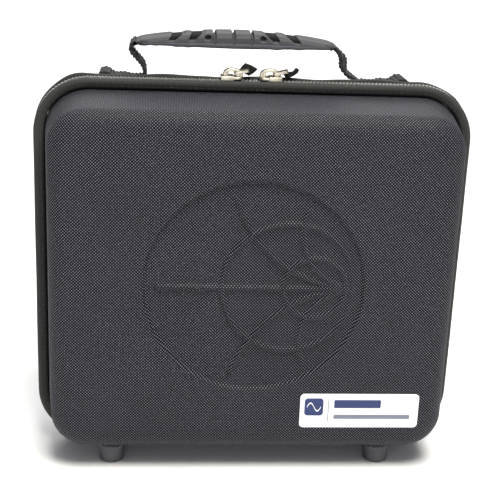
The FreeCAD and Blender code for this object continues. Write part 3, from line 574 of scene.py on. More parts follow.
@dataclass(frozen=True)
class Outline:
    """The zip's outline in mm, a rounded rectangle; every loop of the case is an inset of it."""

    half_width: float
    low: float
    high: float
    corner: float = 38.0
    corner_steps: int = 14
    side_steps: int = 20

    @classmethod
    def from_frame(cls) -> "Outline":
        """Read the outline from the row of zip teeth."""
        low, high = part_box("rear_zip_teeth")
        return cls(half_width=high.x / MM, low=low.z / MM, high=high.z / MM)

    def outward(self, point: Vector) -> Vector:
        """The outline's outward direction at a point, in the plane of the zip.

        Args:
            point: a place in metres.

        Returns:
            A unit vector without a y.
        """
        reach = self.corner * MM
        wide = self.half_width * MM - reach
        core_x = min(max(point.x, -wide), wide)
        core_z = min(max(point.z, self.low * MM + reach), self.high * MM - reach)
        return Vector((point.x - core_x, 0, point.z - core_z)).normalized()

    def loop(self, bm: bmesh.types.BMesh, inset: float, y: float) -> list:
        """One closed loop inside the outline.

        Args:
            bm: the mesh.
            inset: mm inside the outline.
            y: the loop's place in mm.

        Returns:
            The loop's edges.
        """
        reach = self.corner - inset
        wide = 2 * (self.half_width - self.corner)
        tall = self.high - self.low - 2 * self.corner
        known = set(bm.edges)
        first = vert = bm.verts.new((-wide / 2 * MM, y * MM, (self.high - inset) * MM))
        axis = Vector((0, 1, 0))
        for quarter, length in enumerate((wide, tall, wide, tall)):
            turned = Matrix.Rotation(math.radians(90 * quarter), 3, axis)
            along, inward = turned @ Vector((1, 0, 0)), turned @ Vector((0, 0, -1))
            for _ in range(self.side_steps):
                grown = bmesh.ops.extrude_vert_indiv(bm, verts=[vert])
                vert = grown["verts"][0]
                vert.co += along * length / self.side_steps * MM
            spun = bmesh.ops.spin(bm, geom=[vert], cent=vert.co + inward * reach * MM, axis=axis,
                                  angle=math.radians(90), steps=self.corner_steps)
            vert = next(g for g in spun["geom_last"] if isinstance(g, bmesh.types.BMVert))
        bmesh.ops.weld_verts(bm, targetmap={vert: first})
        return [e for e in bm.edges if e not in known]

    def sweep(self, bm: bmesh.types.BMesh, profile: Sequence[tuple[float, float]],
              close: bool = False) -> tuple[list, list]:
        """Carry a profile around the outline.

        Args:
            bm: the mesh.
            profile: (inset, y) in mm, in order along the cross-section.
            close: join the last loop to the first.

        Returns:
            The first and the last loop's edges.
        """
        layer = bm.verts.layers.float_vector.get(WEAVE) or bm.verts.layers.float_vector.new(WEAVE)
        lengths = [0.0]
        for start, end in zip(profile, profile[1:]):
            lengths.append(lengths[-1] + math.dist(start, end))
        inset, y = profile[0]
        first = edges = self.loop(bm, inset, y)
        origin = profile[-1][0]
        for index, (next_inset, next_y) in enumerate(profile):
            if index:
                made = bmesh.ops.extrude_edge_only(bm, edges=edges)["geom"]
                verts = [g for g in made if isinstance(g, bmesh.types.BMVert)]
                edges = [g for g in made if isinstance(g, bmesh.types.BMEdge)]
                for vert in verts:
                    vert.co += self.outward(vert.co) * (inset - next_inset) * MM
                    vert.co.y = next_y * MM
                inset = next_inset
            away = lengths[-1] - lengths[index]
            for vert in {v for e in edges for v in e.verts}:
                flat = vert.co + self.outward(vert.co) * (inset - origin + away) * MM
                vert[layer] = Vector((flat.x, flat.z, 0))
        if close:
            bmesh.ops.bridge_loops(bm, edges=first + edges)
        return first, edges

    def places(self, inset: float, pitch: float) -> list[tuple[Vector, Vector]]:
        """Evenly spaced places along a loop inside the outline.

        Args:
            inset: mm inside the outline.
            pitch: mm from place to place, adjusted to go round a whole number of times.

        Returns:
            (place, direction of travel) in metres, clockwise from the top's middle.
        """
        reach = self.corner - inset
        wide = 2 * (self.half_width - self.corner)
        tall = self.high - self.low - 2 * self.corner
        quarter = reach * math.pi / 2
        runs = [wide / 2, quarter, tall, quarter, wide, quarter, tall, quarter, wide / 2]
        total = sum(runs)
        count = round(total / pitch)
        centre = Vector((0, 0, (self.high + self.low) / 2))
        found = []
        for index in range(count):
            left = total * index / count
            spot = Vector((0, 0, tall / 2 + reach))
            for number, length in enumerate(runs):
                heading = math.radians(-90 * (number // 2))
                direction = Vector((math.cos(heading), 0, math.sin(heading)))
                used = min(left, length)
                if number % 2 == 0:
                    spot = spot + direction * used
                else:
                    turn = used / reach
                    normal = Vector((-direction.z, 0, direction.x))
                    inward = normal * reach * (1 - math.cos(turn))
                    spot = spot + direction * reach * math.sin(turn) - inward
                    direction = direction * math.cos(turn) - normal * math.sin(turn)
                left -= used
                if left <= 1e-9:
                    break
            found.append(((centre + spot) * MM, direction))
        return found


OUTLINE = Outline.from_frame()


# ------------------------------------------------------------------- shells


@dataclass
class ShellForm:
    """The moulded wall's cross-section, in mm."""

    side: Side
    wall_inset: float = 7.5
    start: float = 0.3
    draft: float = 6.0
    face_round: float = 14.0
    thickness: float = 3.8
    lid_thickness: float = 1.1  # the sunken field leaves this much in front of the lining
    round_steps: int = 10
    crease: float = 24.0  # degrees at which the round starts off the wall
    wall_shares: tuple[float, ...] = (0.25, 0.5, 0.75, 0.98)  # the last keeps the crease crisp

    @property
    def depth(self) -> float:
        """Zip plane to the face, from the frame."""
        low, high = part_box(self.side.word + "_shell")
        return (-low.y if self.side is Side.FRONT else high.y) / MM

    @property
    def face_inset(self) -> float:
        """Inset of the flat face."""
        slope = math.tan(math.radians(self.draft))
        wall = self.wall_inset + (self.depth - self.face_round - self.start) * slope
        return wall + self.face_round / math.cos(math.radians(self.draft))

    def profile(self) -> list[tuple[float, float]]:
        """The section from the rim to the flat face.

        Returns:
            (inset, y) in mm: the rim, the wall and the round.
        """
        middle = self.depth - self.face_round
        turns = [math.radians(self.crease + (90 - self.crease) * step / self.round_steps)
                 for step in range(self.round_steps + 1)]
        arc = [(self.face_inset - self.face_round * math.cos(turn),
                middle + self.face_round * math.sin(turn)) for turn in turns]
        (rim, low), (end, high) = (self.wall_inset, self.start), arc[0]
        wall = [(rim + (end - rim) * share, low + (high - low) * share)
                for share in self.wall_shares]
        return [(inset, self.side.value * y) for inset, y in [(rim, low), *wall, *arc]]


@dataclass
class DiscRelief:
    """The sunken round field on the lid with its moulded chart of arcs, in mm."""

    radius: float = 75.0
    centre_z: float = 139.5
    sink: float = 2.8
    wall: float = 2.8
    ridge_half: float = 1.5
    ridge_rise: float = 2.25
    margin: float = 7.0
    ring_step: float = 0.8
    steps: int = 300
    line_gap: float = 2.6  # between moulded lines that run side by side
    lip: float = 0.6  # how far the sunken wall reaches outside the radius
    fade: float = 3.0  # over which the lines die out at the margin
    steepness: float = 1.15  # of a line's flanks
    rim: float = 2.0  # of flat face around the field that belongs to its mesh
    circles: tuple[tuple[float, float], ...] = ((0.62, 2.0), (0.3, 4.5))  # (radius, gaps in)
    bends: tuple[float, float] = (0.55, 1.25)  # radii of the arcs through the tip

    def lines(self, x: float, z: float) -> float:
        """Distance from a point to the nearest moulded line.

        Args:
            x: from the disc's centre.
            z: from the disc's centre.

        Returns:
            Distance in mm.
        """
        tip = self.radius - 2 * self.line_gap
        found = [abs(z)]
        for share, gaps in self.circles:
            reach = self.radius * share
            middle = self.radius - reach - gaps * self.line_gap
            found.append(abs(math.hypot(x - middle, z) - reach + self.line_gap / 2))
        for bend in self.bends:
            reach = tip * bend
            for up in (-1, 1):
                found.append(abs(math.hypot(x - tip, z - up * reach) - reach))
        return min(found)

    def depth_at(self, x: float, z: float) -> float:
        """How far the surface lies below the face at a point of the disc.

        Args:
            x: from the disc's centre in mm.
            z: from the disc's centre in mm.

        Returns:
            Depth in mm.
        """
        radius = math.hypot(x, z)
        sunk = self.sink * smoothstep((self.radius + self.lip - radius) / self.wall)
        inside = smoothstep((self.radius - self.margin - radius) / self.fade)
        ridge = smoothstep(1 - self.lines(x, z) / (2 * self.ridge_half) * self.steepness)
        return sunk - self.ridge_rise * ridge * inside

    def build(self, bm: bmesh.types.BMesh, y: float, layer: bmesh.types.BMLayerItem) -> list:
        """Add the disc to a face.

        Args:
            bm: the shell's mesh.
            y: the face's place in mm.
            layer: the cloth's coordinates.

        Returns:
            The disc's outer edges.
        """
        centre = Vector((0, y * MM, self.centre_z * MM))
        turned = Matrix.Translation(centre) @ Matrix.Rotation(math.pi / 2, 4, "X")
        outer = self.radius + self.rim
        made = bmesh.ops.create_circle(bm, cap_ends=False, segments=self.steps,
                                       radius=outer * MM, matrix=turned)
        edges = list({e for v in made["verts"] for e in v.link_edges})
        border = list(edges)
        verts = list(made["verts"])
        radius = outer
        while radius > 2 * self.ring_step:
            step = self.ring_step if radius > self.radius * 0.2 else 2 * self.ring_step
            grown = bmesh.ops.extrude_edge_only(bm, edges=edges)["geom"]
            fresh = [g for g in grown if isinstance(g, bmesh.types.BMVert)]
            edges = [g for g in grown if isinstance(g, bmesh.types.BMEdge)]
            share = (radius - step) / radius
            bmesh.ops.scale(bm, verts=fresh, vec=(share,) * 3, space=Matrix.Translation(-centre))
            radius -= step
            verts += fresh
        bmesh.ops.holes_fill(bm, edges=edges, sides=self.steps)
        for vert in verts:
            below = self.depth_at(vert.co.x / MM, vert.co.z / MM - self.centre_z)
            vert.co.y += below * MM
            vert[layer] = Vector((vert.co.x, vert.co.z, 0))
        return border


@dataclass
class Shell:
    """One moulded half of the case, with its foot pads, in mm."""

    side: Side
    pad: tuple[tuple[float, float], ...] = (  # (radius, height above the foot)
        (0, 0), (9.2, 0), (10.2, 0.4), (10.5, 1.2), (10.6, 4), (11.6, 6.2), (0, 6.2))
    form: ShellForm = field(init=False)

    def __post_init__(self) -> None:
        """Choose the half's cross-section."""
        self.form = ShellForm(self.side)

    def build(self) -> None:
        """Wall, face and foot pads as one cloth-covered moulding."""
        bm = bmesh.new()
        profile = self.form.profile()
        _, edges = OUTLINE.sweep(bm, profile)
        layer = bm.verts.layers.float_vector[WEAVE]
        face_y = profile[-1][1]
        if self.side is Side.FRONT:
            border = DiscRelief().build(bm, face_y, layer)
            bridged = bmesh.ops.bridge_loops(bm, edges=edges + border)
            spokes = [e for e in bridged["edges"] if e not in edges and e not in border]
            bmesh.ops.subdivide_edges(bm, edges=spokes, cuts=2)
            for vert in bm.verts:
                if abs(vert.co.y - face_y * MM) < 0.001 * MM:
                    vert[layer] = Vector((vert.co.x, vert.co.z, 0))
        else:
            bmesh.ops.holes_fill(bm, edges=edges, sides=len(edges))
        item = add_piece(bm, self.side.word + "_moulding", SHELL_CLOTH, self.side.body,
                         [self.side.word + "_shell"])
        thickness = self.form.thickness if self.side is Side.REAR else self.form.lid_thickness
        modifier(item, "SOLIDIFY", thickness=thickness * MM, offset=-1)
        self.foot_pads()

    def foot_pads(self) -> None:
        """Round pads moulded under the wall, one over each foot."""
        bm = bmesh.new()
        for hand in Hand:
            low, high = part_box(f"{self.side.word}_foot_{hand.word}")
            axis = Vector(((low.x + high.x) / 2, (low.y + high.y) / 2, 0))
            lathe(bm, [(radius, high.z / MM + rise) for radius, rise in self.pad], axis)
        layer = bm.verts.layers.float_vector.new(WEAVE)
        for vert in bm.verts:
            vert[layer] = Vector((vert.co.x, vert.co.y + vert.co.z, 0))
        add_piece(bm, self.side.word + "_foot_pads", SHELL_CLOTH, self.side.body)


@dataclass
class Binding:
    """Bias tape rolled over one shell's flange and sewn down, with its stitches, in mm."""

    side: Side
    section: tuple[tuple[float, float], ...] = (  # (inset, y) around the rolled tape
        (7.4, 4.6), (4.5, 4.5), (1.6, 4.5), (0.7, 4.9), (0.45, 5.6), (0.5, 6.6), (0.9, 7.5),
        (1.8, 8.2), (3.0, 8.45), (4.2, 8.3), (5.0, 7.9), (5.5, 7.7), (6.1, 7.6), (6.7, 7.0),
        (7.1, 6.2), (7.3, 5.4))
    seam: tuple[float, float] = (5.4, 7.75)  # (inset, y) of the row of stitches
    stitch: float = 2.817
    stitch_pitch: float = 4.1
    thread: float = 0.68
    rear_rise: float = 2.3  # the rear tape stands this much proud at the top
    front_rise: float = 0.3

    def build(self) -> None:
        """The padded band, then a row of stitches near its inner edge."""
        bm = bmesh.new()
        section = [(inset, self.side.value * y) for inset, y in self.section]
        OUTLINE.sweep(bm, section, close=True)
        self.ripple(bm)
        item = add_piece(bm, self.side.word + "_bias_tape", BINDING_CLOTH, self.side.body,
                         [self.side.word + "_binding"])
        modifier(item, "SUBSURF", levels=1, render_levels=1)
        self.stitches()

    def ripple(self, bm: bmesh.types.BMesh) -> None:
        """Let the band stand a little proud and uneven, as sewn tape does.

        Args:
            bm: the band's mesh.
        """
        rise = self.rear_rise if self.side is Side.REAR else self.front_rise
        for vert in bm.verts:
            outward = OUTLINE.outward(vert.co)
            x, z = vert.co.x / MM, vert.co.z / MM
            # Two waves of different length, so that the unevenness doesn't repeat.
            wave = 0.5 + 0.3 * math.sin(x / 11.0 + 0.7) + 0.2 * math.sin(x / 4.7 + z / 31.0)
            top = smoothstep((outward.z - 0.3) / 0.6)
            side = 0.35 * (0.5 + 0.5 * math.sin(z / 13.0 + 1.0))
            vert.co += outward * rise * (wave * top + side * (1 - top)) * MM

    def stitches(self) -> None:
        """Short threads along the groove of the seam."""
        bm = bmesh.new()
        inset, y = self.seam
        for spot, along in OUTLINE.places(inset, self.stitch_pitch):
            spot.y = self.side.value * y * MM
            add_stitch(bm, spot, along, self.stitch, self.thread)
        add_piece(bm, self.side.word + "_seam_stitches", THREAD, self.side.body)


# ---------------------------------------------------------------------- zip


@dataclass
class ZipCoil:
    """Both rows of a coil zip, meshed except between the two sliders, in mm."""

    pitch: float = 2.5
    tooth: tuple[float, float, float] = (1.15, 3.5, 1.9)
    tooth_round: float = 0.34
    inset: float = 1.3  # of the teeth's line inside the outline
    hinge_half: float = 81.0  # no teeth where the fabric hinge is
    shut: float = 1.2  # from the zip's plane to a tooth's middle where the rows mesh
    parted: float = 1.9  # the same between the sliders
    run_depth: float = 10.0  # of the top and bottom runs, within the outline's height

    def build(self) -> None:
        """One row for each half; the rows are half a pitch apart."""
        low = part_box("left_slider")[0].x
        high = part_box("right_slider")[1].x
        for side in Side:
            bm = bmesh.new()
            first = 1 if side is Side.FRONT else 0
            for spot, along in OUTLINE.places(self.inset, self.pitch / 2)[first::2]:
                on_top = spot.z > (OUTLINE.high - self.run_depth) * MM
                at_bottom = spot.z < (OUTLINE.low + self.run_depth) * MM
                if at_bottom and abs(spot.x) < self.hinge_half * MM:
                    continue
                apart = on_top and low < spot.x < high
                self.add_tooth(bm, spot, along, side, self.parted if apart else self.shut)
            add_piece(bm, side.word + "_zip_coil", ZIP_COIL, side.body,
                      [side.word + "_zip_teeth"])

    def add_tooth(self, bm: bmesh.types.BMesh, spot: Vector, along: Vector, side: Side,
                  middle: float) -> None:
        """One loop of the coil, as a rounded bar across the zip.

        Args:
            bm: the row's mesh.
            spot: the tooth's place on the zip's line.
            along: direction of the zip.
            side: the half that it belongs to.
            middle: mm from the zip's plane to the bar's middle.
        """
        long, wide, high = self.tooth
        across = Vector((0, 1, 0))
        up = along.cross(across)
        axes = Matrix((along, across, up)).transposed().to_4x4()
        where = Matrix.Translation(spot + across * side.value * middle * MM)
        size = Matrix.Diagonal((long * MM, wide * MM, high * MM, 1))
        made = bmesh.ops.create_cube(bm, size=1, matrix=where @ axes @ size)["verts"]
        edges = list({e for v in made for e in v.link_edges})
        bmesh.ops.bevel(bm, geom=edges, offset=self.tooth_round * MM, segments=1, profile=0.5,
                        affect="EDGES", material=-1)


def smooth_path(points: Sequence[tuple[float, float]], cuts: int) -> list[tuple[float, float]]:
    """A smooth line through given points.

    Args:
        points: (x, z) in mm.
        cuts: places for each stretch.

    Returns:
        More points of the same line.
    """
    ends = [points[0], *points, points[-1]]
    found = []
    for a, b, c, d in zip(ends, ends[1:], ends[2:], ends[3:]):
        for step in range(cuts):
            u = step / cuts
            found.append(tuple(
                0.5 * (2 * b[i] + (c[i] - a[i]) * u
                       + (2 * a[i] - 5 * b[i] + 4 * c[i] - d[i]) * u ** 2
                       + (3 * b[i] - a[i] - 3 * c[i] + d[i]) * u ** 3) for i in (0, 1)))
    found.append(points[-1])
    return found


def ribbon(bm: bmesh.types.BMesh, path: Sequence[tuple[float, float]], y_low: float,
           y_high: float, across: int = 4) -> list:
    """A bent strip without thickness, with a cloth's coordinates.

    Args:
        bm: the mesh.
        path: (x, z) in mm.
        y_low: the strip's front edge in mm.
        y_high: its rear edge in mm.
        across: faces across its width.

    Returns:
        The new vertices.
    """
    layer = bm.verts.layers.float_vector.get(WEAVE) or bm.verts.layers.float_vector.new(WEAVE)
    line = [bm.verts.new((x * MM, y_low * MM, z * MM)) for x, z in path]
    gone = 0.0
    for index, vert in enumerate(line):
        if index:
            gone += (vert.co - line[index - 1].co).length
        vert[layer] = Vector((gone, y_low * MM, 0))
    edges = [bm.edges.new(pair) for pair in zip(line, line[1:])]
    made = list(line)
    step = (y_high - y_low) * MM / across
    for _ in range(across):
        grown = bmesh.ops.extrude_edge_only(bm, edges=edges)["geom"]
        fresh = [g for g in grown if isinstance(g, bmesh.types.BMVert)]
        edges = [g for g in grown if isinstance(g, bmesh.types.BMEdge)]
        for vert in fresh:
            vert.co.y += step
            vert[layer] = vert[layer] + Vector((0, step, 0))
        made += fresh
    return made


# Each pull end is a stiff fold of braid: its outline as (x, z) in mm from the pull's pin.
BRAID_FOLDS = {
    Hand.LEFT: ((2.7, 0.6), (4.6, 3.4), (7.0, 6.0), (11.5, 4.4), (15.4, 2.3), (12.4, -0.4),
                (9.4, -2.4), (6.0, -0.6)),
    Hand.RIGHT: ((6.5, -1.2), (9.4, 0.6), (13.3, 1.0), (15.0, 3.6), (17.2, 2.9), (16.2, 0.4),
                 (12.3, -2.2), (8.6, -3.4)),
}


@dataclass
class SliderAndPull:
    """Die-cast slider with its bridge, wire pull and braided end, in mm.

    Lengths along the zip run from the slider's middle towards the other slider, and heights
    from the underside of its upper plate.
    """

    hand: Hand
    lean: float = 15.0  # degrees that the pull rises
    plate_lift: float = 0.4  # of the upper plate above the zip's outline
    plate_half: tuple[float, float] = (7.3, 5.0)
    plate_thick: float = 1.7
    plate_corner: float = 2.6
    blocks: tuple[tuple[float, ...], ...] = (  # (start, end, front, back, low, high)
        (-6.4, 6.4, 3.5, 4.2, -2.0, 0.2),  # lip behind the tape
        (-5.6, -2.2, -1.9, 1.9, 1.0, 4.6),  # cheek over the nose
        (3.0, 6.9, -1.9, 1.9, 1.0, 3.6),  # lower cheek at the other end
        (-7.5, 1.4, -5.2, 5.2, -0.8, 2.3),  # nose
        (-6.9, 6.9, -3.1, 3.1, -5.6, -4.2),  # shoe below the tape
        (-2.3, 2.3, -0.4, 0.4, -4.4, 0.2),  # wedge that joins the shoe to the plate
    )
    arch_half: float = 5.9
    arch_stretch: float = 1.28  # of the arch's longer end
    arch_lift: float = 1.2  # of its feet above the plate's underside
    arch_over: float = 0.5  # above the slider's box before its thickness is taken off
    arch_square: float = 0.55  # below 1, a flatter top than a half circle
    arch_width: float = 2.3  # to each side
    arch_thick: float = 2.1
    arch_steps: int = 24
    pin: tuple[float, float] = (2.6, 3.7)  # (x, height) of the pull's cross bar
    wire_low: tuple[float, float, float] = (-1.0, -3.1, -0.95)
    wire_high: tuple[float, float, float] = (9.4, 3.1, 0.95)
    wire_corner: float = 1.2
    wire_width: float = 1.5
    braid_front: float = 2.5
    braid_lay: tuple[float, float, float] = (-0.5, 2.2, 0.6)  # from its front to its back
    braid_round: float = 0.45
    box: Extent = field(init=False)

    def __post_init__(self) -> None:
        """Read the slider's box."""
        self.box = Extent.of(self.hand.word + "_slider")

    @property
    def middle(self) -> float:
        """The slider's place along the zip."""
        return self.box.middle[0]

    @property
    def base(self) -> float:
        """Underside of the upper plate."""
        return OUTLINE.high + self.plate_lift

    @property
    def pivot(self) -> Vector:
        """Middle of the pull's cross bar, in metres."""
        along, rise = self.pin
        return Vector((self.middle + along, 0, self.base + rise)) * MM

    def build(self) -> None:
        """All pieces of one slider."""
        self.plates()
        self.bridge()
        self.pull_wire()
        self.pull_end()

    def plates(self) -> None:
        """Upper plate with nose, cheeks and rear lip, and the shoe below the tape."""
        bm = bmesh.new()
        long, wide = self.plate_half
        rounded_block(bm, (self.middle - long, -wide, self.base),
                      (self.middle + long, wide, self.base + self.plate_thick), self.plate_corner)
        for start, end, front, back, low, high in self.blocks:
            left, right = sorted(self.middle - self.hand.value * x for x in (start, end))
            block(bm, (left, front, self.base + low), (right, back, self.base + high))
        item = add_piece(bm, self.hand.word + "_slider_body", SLIDER_METAL,
                         self.hand.word + "_slider", [self.hand.word + "_slider"])
        soften(item, 0.45, 3)

    def bridge(self) -> None:
        """Cast arch over the plate that holds the pull."""
        foot = self.base + self.arch_lift
        rise = self.box.high - foot + self.arch_over
        path = []
        for step in range(self.arch_steps + 1):
            turn = math.pi * step / self.arch_steps
            long_end = self.arch_stretch if math.cos(turn) > 0 else 1.0
            reach = self.arch_half * long_end * math.cos(turn)
            path.append((self.middle - self.hand.value * reach,
                         foot + rise * math.sin(turn) ** self.arch_square))
        bm = bmesh.new()
        ribbon(bm, path, -self.arch_width, self.arch_width, 2)
        item = add_piece(bm, self.hand.word + "_slider_bridge", SLIDER_METAL,
                         self.hand.word + "_slider", outward=False)
        # The two arches run opposite ways, so their faces point opposite ways too.
        modifier(item, "SOLIDIFY", thickness=self.arch_thick * MM, offset=self.hand.value)
        soften(item, 0.5, 3, 50)

    def pull_wire(self) -> None:
        """A rounded metal loop through the bridge, leaning from its cross bar."""
        bm = bmesh.new()
        rounded_block(bm, self.wire_low, self.wire_high, self.wire_corner)
        bm.normal_update()
        flat = [f for f in bm.faces if abs(f.normal.z) > 0.9]
        bmesh.ops.inset_individual(bm, faces=flat, thickness=self.wire_width * MM,
                                   use_even_offset=True)
        rims = [e for f in flat for e in f.edges]
        bmesh.ops.delete(bm, geom=flat, context="FACES_ONLY")
        bmesh.ops.bridge_loops(bm, edges=rims)
        leaning = Matrix.Rotation(-math.radians(self.lean), 4, "Y")
        bmesh.ops.transform(bm, matrix=Matrix.Translation(self.pivot) @ leaning, verts=bm.verts)
        item = add_piece(bm, self.hand.word + "_pull_wire", SLIDER_METAL,
                         self.hand.word + "_pull", [self.hand.word + "_pull_tab"])
        soften(item, 0.4, 3, 50)

    def pull_end(self) -> None:
        """Stiff braid folded and sewn around the loop's end."""
        bm = bmesh.new()
        verts = [bm.verts.new(self.pivot + Vector((x, self.braid_front, z)) * MM)
                 for x, z in BRAID_FOLDS[self.hand]]
        face = bm.faces.new(verts)
        grown = bmesh.ops.extrude_face_region(bm, geom=[face])["geom"]
        for vert in (g for g in grown if isinstance(g, bmesh.types.BMVert)):
            vert.co += Vector(self.braid_lay) * MM
        bmesh.ops.bevel(bm, geom=bm.edges[:], offset=self.braid_round * MM, segments=2,
                        profile=0.5, affect="EDGES", material=-1)
        item = add_piece(bm, self.hand.word + "_pull_braid", PULL_CLOTH,
                         self.hand.word + "_pull", [self.hand.word + "_pull_cord"])
        modifier(item, "SUBSURF", levels=1, render_levels=1)


# --------------------------------------------------------------------- feet


@dataclass
class RubberFoot:
    """Moulded foot with a flange line near its top and a seat for its screw, in mm."""

    side: Side
    hand: Hand
    bore: float = 2.2  # radius of the hole for the screw's shank
    seat: float = 3.95  # radius of the recess for its head
    seat_height: float = 4.0
    facets: int = 64

    def profile(self, wide: float, tall: float) -> list[tuple[float, float]]:
        """The foot's closed section.

        Args:
            wide: radius at the top.
            tall: height.

        Returns:
            (radius, height), from the screw's seat down, out and up to the shell.
        """
        seat, under = self.seat, self.seat_height
        recess = [(self.bore, under), (seat - 0.05, under), (seat, under - 0.2), (seat, 0.5),
                  (seat + 0.45, 0.02)]
        sole = [(wide - 2.2, 0), (wide - 1.3, 0.15), (wide - 0.75, 0.6), (wide - 0.55, 1.4)]
        line = [(wide - 0.2, tall - 2.4), (wide - 0.3, tall - 2.15), (wide - 0.3, tall - 1.95)]
        flange = [(wide, tall - 1.75), (wide + 0.05, tall - 0.4), (wide - 0.3, tall)]
        return [*recess, *sole, *line, *flange, (self.bore, tall), (self.bore, under)]

    def build(self) -> None:
        """Turn the section about the foot's axis."""
        node = f"{self.side.word}_foot_{self.hand.word}"
        low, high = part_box(node)
        axis = Vector(((low.x + high.x) / 2, (low.y + high.y) / 2, 0))
        bm = bmesh.new()
        lathe(bm, self.profile((high.x - low.x) / 2 / MM, high.z / MM), axis, self.facets)
        item = add_piece(bm, f"{self.side.word}_{self.hand.word}_rubber_foot", FOOT_RUBBER,
                         self.side.body, [node])
        soften(item, 0.12, 2, 50)


# -------------------------------------------------------------------- badge


@dataclass
class Badge:
    """Printed label: a plain wave mark, a thin rule and two bars, in mm."""

    corner: float = 3.0
    ink_rise: float = 0.06  # of the print in front of the plate
    ink_depth: float = 0.2  # of the print's back inside the plate
    mark_at: float = 9.8  # from the label's left edge to the mark's middle
    mark_half: float = 6.6
    mark_lift: float = 3.0  # of the mark's middle above the label's
    rule_at: float = 20.0
    rule_half: float = 0.25
    bars_at: float = 24.0
    box: Extent = field(init=False)

    def __post_init__(self) -> None:
        """Read the label's place from the frame."""
        self.box = Extent.of("name_badge")

    def plate(self, name: str, finish: Finish, edges: tuple[float, float, float, float],
              corner: float, front: float, back: float,
              nodes: Sequence[str] = ()) -> bpy.types.Object:
        """One rounded plate that faces the front, sizes in mm.

        Args:
            name: the piece's name.
            finish: its print or stock.
            edges: left, right, low and high.
            corner: corner radius.
            front: y of its front.
            back: y of its back.
            nodes: CAD nodes that it stands for.

        Returns:
            The piece.
        """
        left, right, low, high = edges
        bm = bmesh.new()
        ends = ((left, low), (right, low), (right, high), (left, high))
        corners = [bm.verts.new((x * MM, back * MM, z * MM)) for x, z in ends]
        bm.faces.new(corners)
        bmesh.ops.bevel(bm, geom=corners, offset=corner * MM, segments=8, profile=0.5,
                        affect="VERTICES", material=-1)
        made = bmesh.ops.extrude_face_region(bm, geom=bm.faces[:])["geom"]
        fresh = [g for g in made if isinstance(g, bmesh.types.BMVert)]
        bmesh.ops.translate(bm, verts=fresh, vec=(0, (front - back) * MM, 0))
        return add_piece(bm, name, finish, "lid", nodes, smooth=False)

    def build(self) -> None:
        """The plate and its print."""
        box = self.box
        item = self.plate("label_plate", BADGE_WHITE, (box.left, box.right, box.low, box.high),
                          self.corner, box.front, box.back, ["name_badge"])
        soften(item, 0.3, 3)
        ink, behind = box.front - self.ink_rise, box.front + self.ink_depth
        middle = (box.low + box.high) / 2
        mark, centre, half = box.left + self.mark_at, middle + self.mark_lift, self.mark_half
        self.plate("label_mark", BADGE_NAVY,
                   (mark - half, mark + half, centre - half, centre + half), 2.4, ink, behind)
        self.wave(mark, centre, 4.9, 3.0, ink)
        rule, half = box.left + self.rule_at, self.rule_half
        self.plate("label_rule", BADGE_GREY, (rule - half, rule + half, middle - 8, middle + 9.5),
                   0.2, ink, behind)
        start = box.left + self.bars_at
        self.plate("label_bar_upper", BADGE_NAVY, (start, start + 33, middle + 2.2, middle + 8.4),
                   1.0, ink, behind)
        self.plate("label_bar_lower", BADGE_GREY, (start, start + 54, middle - 6.2, middle - 3.0),
                   0.8, ink, behind)

    def wave(self, x: float, z: float, reach: float, rise: float, ink: float) -> None:
        """A white sine wave on the mark.

        Args:
            x: the mark's middle.
            z: the mark's middle.
            reach: half its length.
            rise: its height to each side.
            ink: y of the mark's front.
        """
        half_steps, thick = 20, 1.0
        turns = [step / half_steps for step in range(2 * half_steps + 1)]
        path = [(x + reach * (turn - 1), z + rise * math.sin(math.pi * turn)) for turn in turns]
        bm = bmesh.new()
        line = [bm.verts.new((px * MM, (ink - 0.05) * MM, (pz - thick / 2) * MM))
                for px, pz in path]
        edges = [bm.edges.new(pair) for pair in zip(line, line[1:])]
        made = bmesh.ops.extrude_edge_only(bm, edges=edges)["geom"]
        fresh = [g for g in made if isinstance(g, bmesh.types.BMVert)]
        bmesh.ops.translate(bm, verts=fresh, vec=(0, 0, thick * MM))
        item = add_piece(bm, "label_wave", BADGE_WHITE, "lid", smooth=False)
        modifier(item, "SOLIDIFY", thickness=0.1 * MM, offset=0)


# ------------------------------------------------------------------- handle


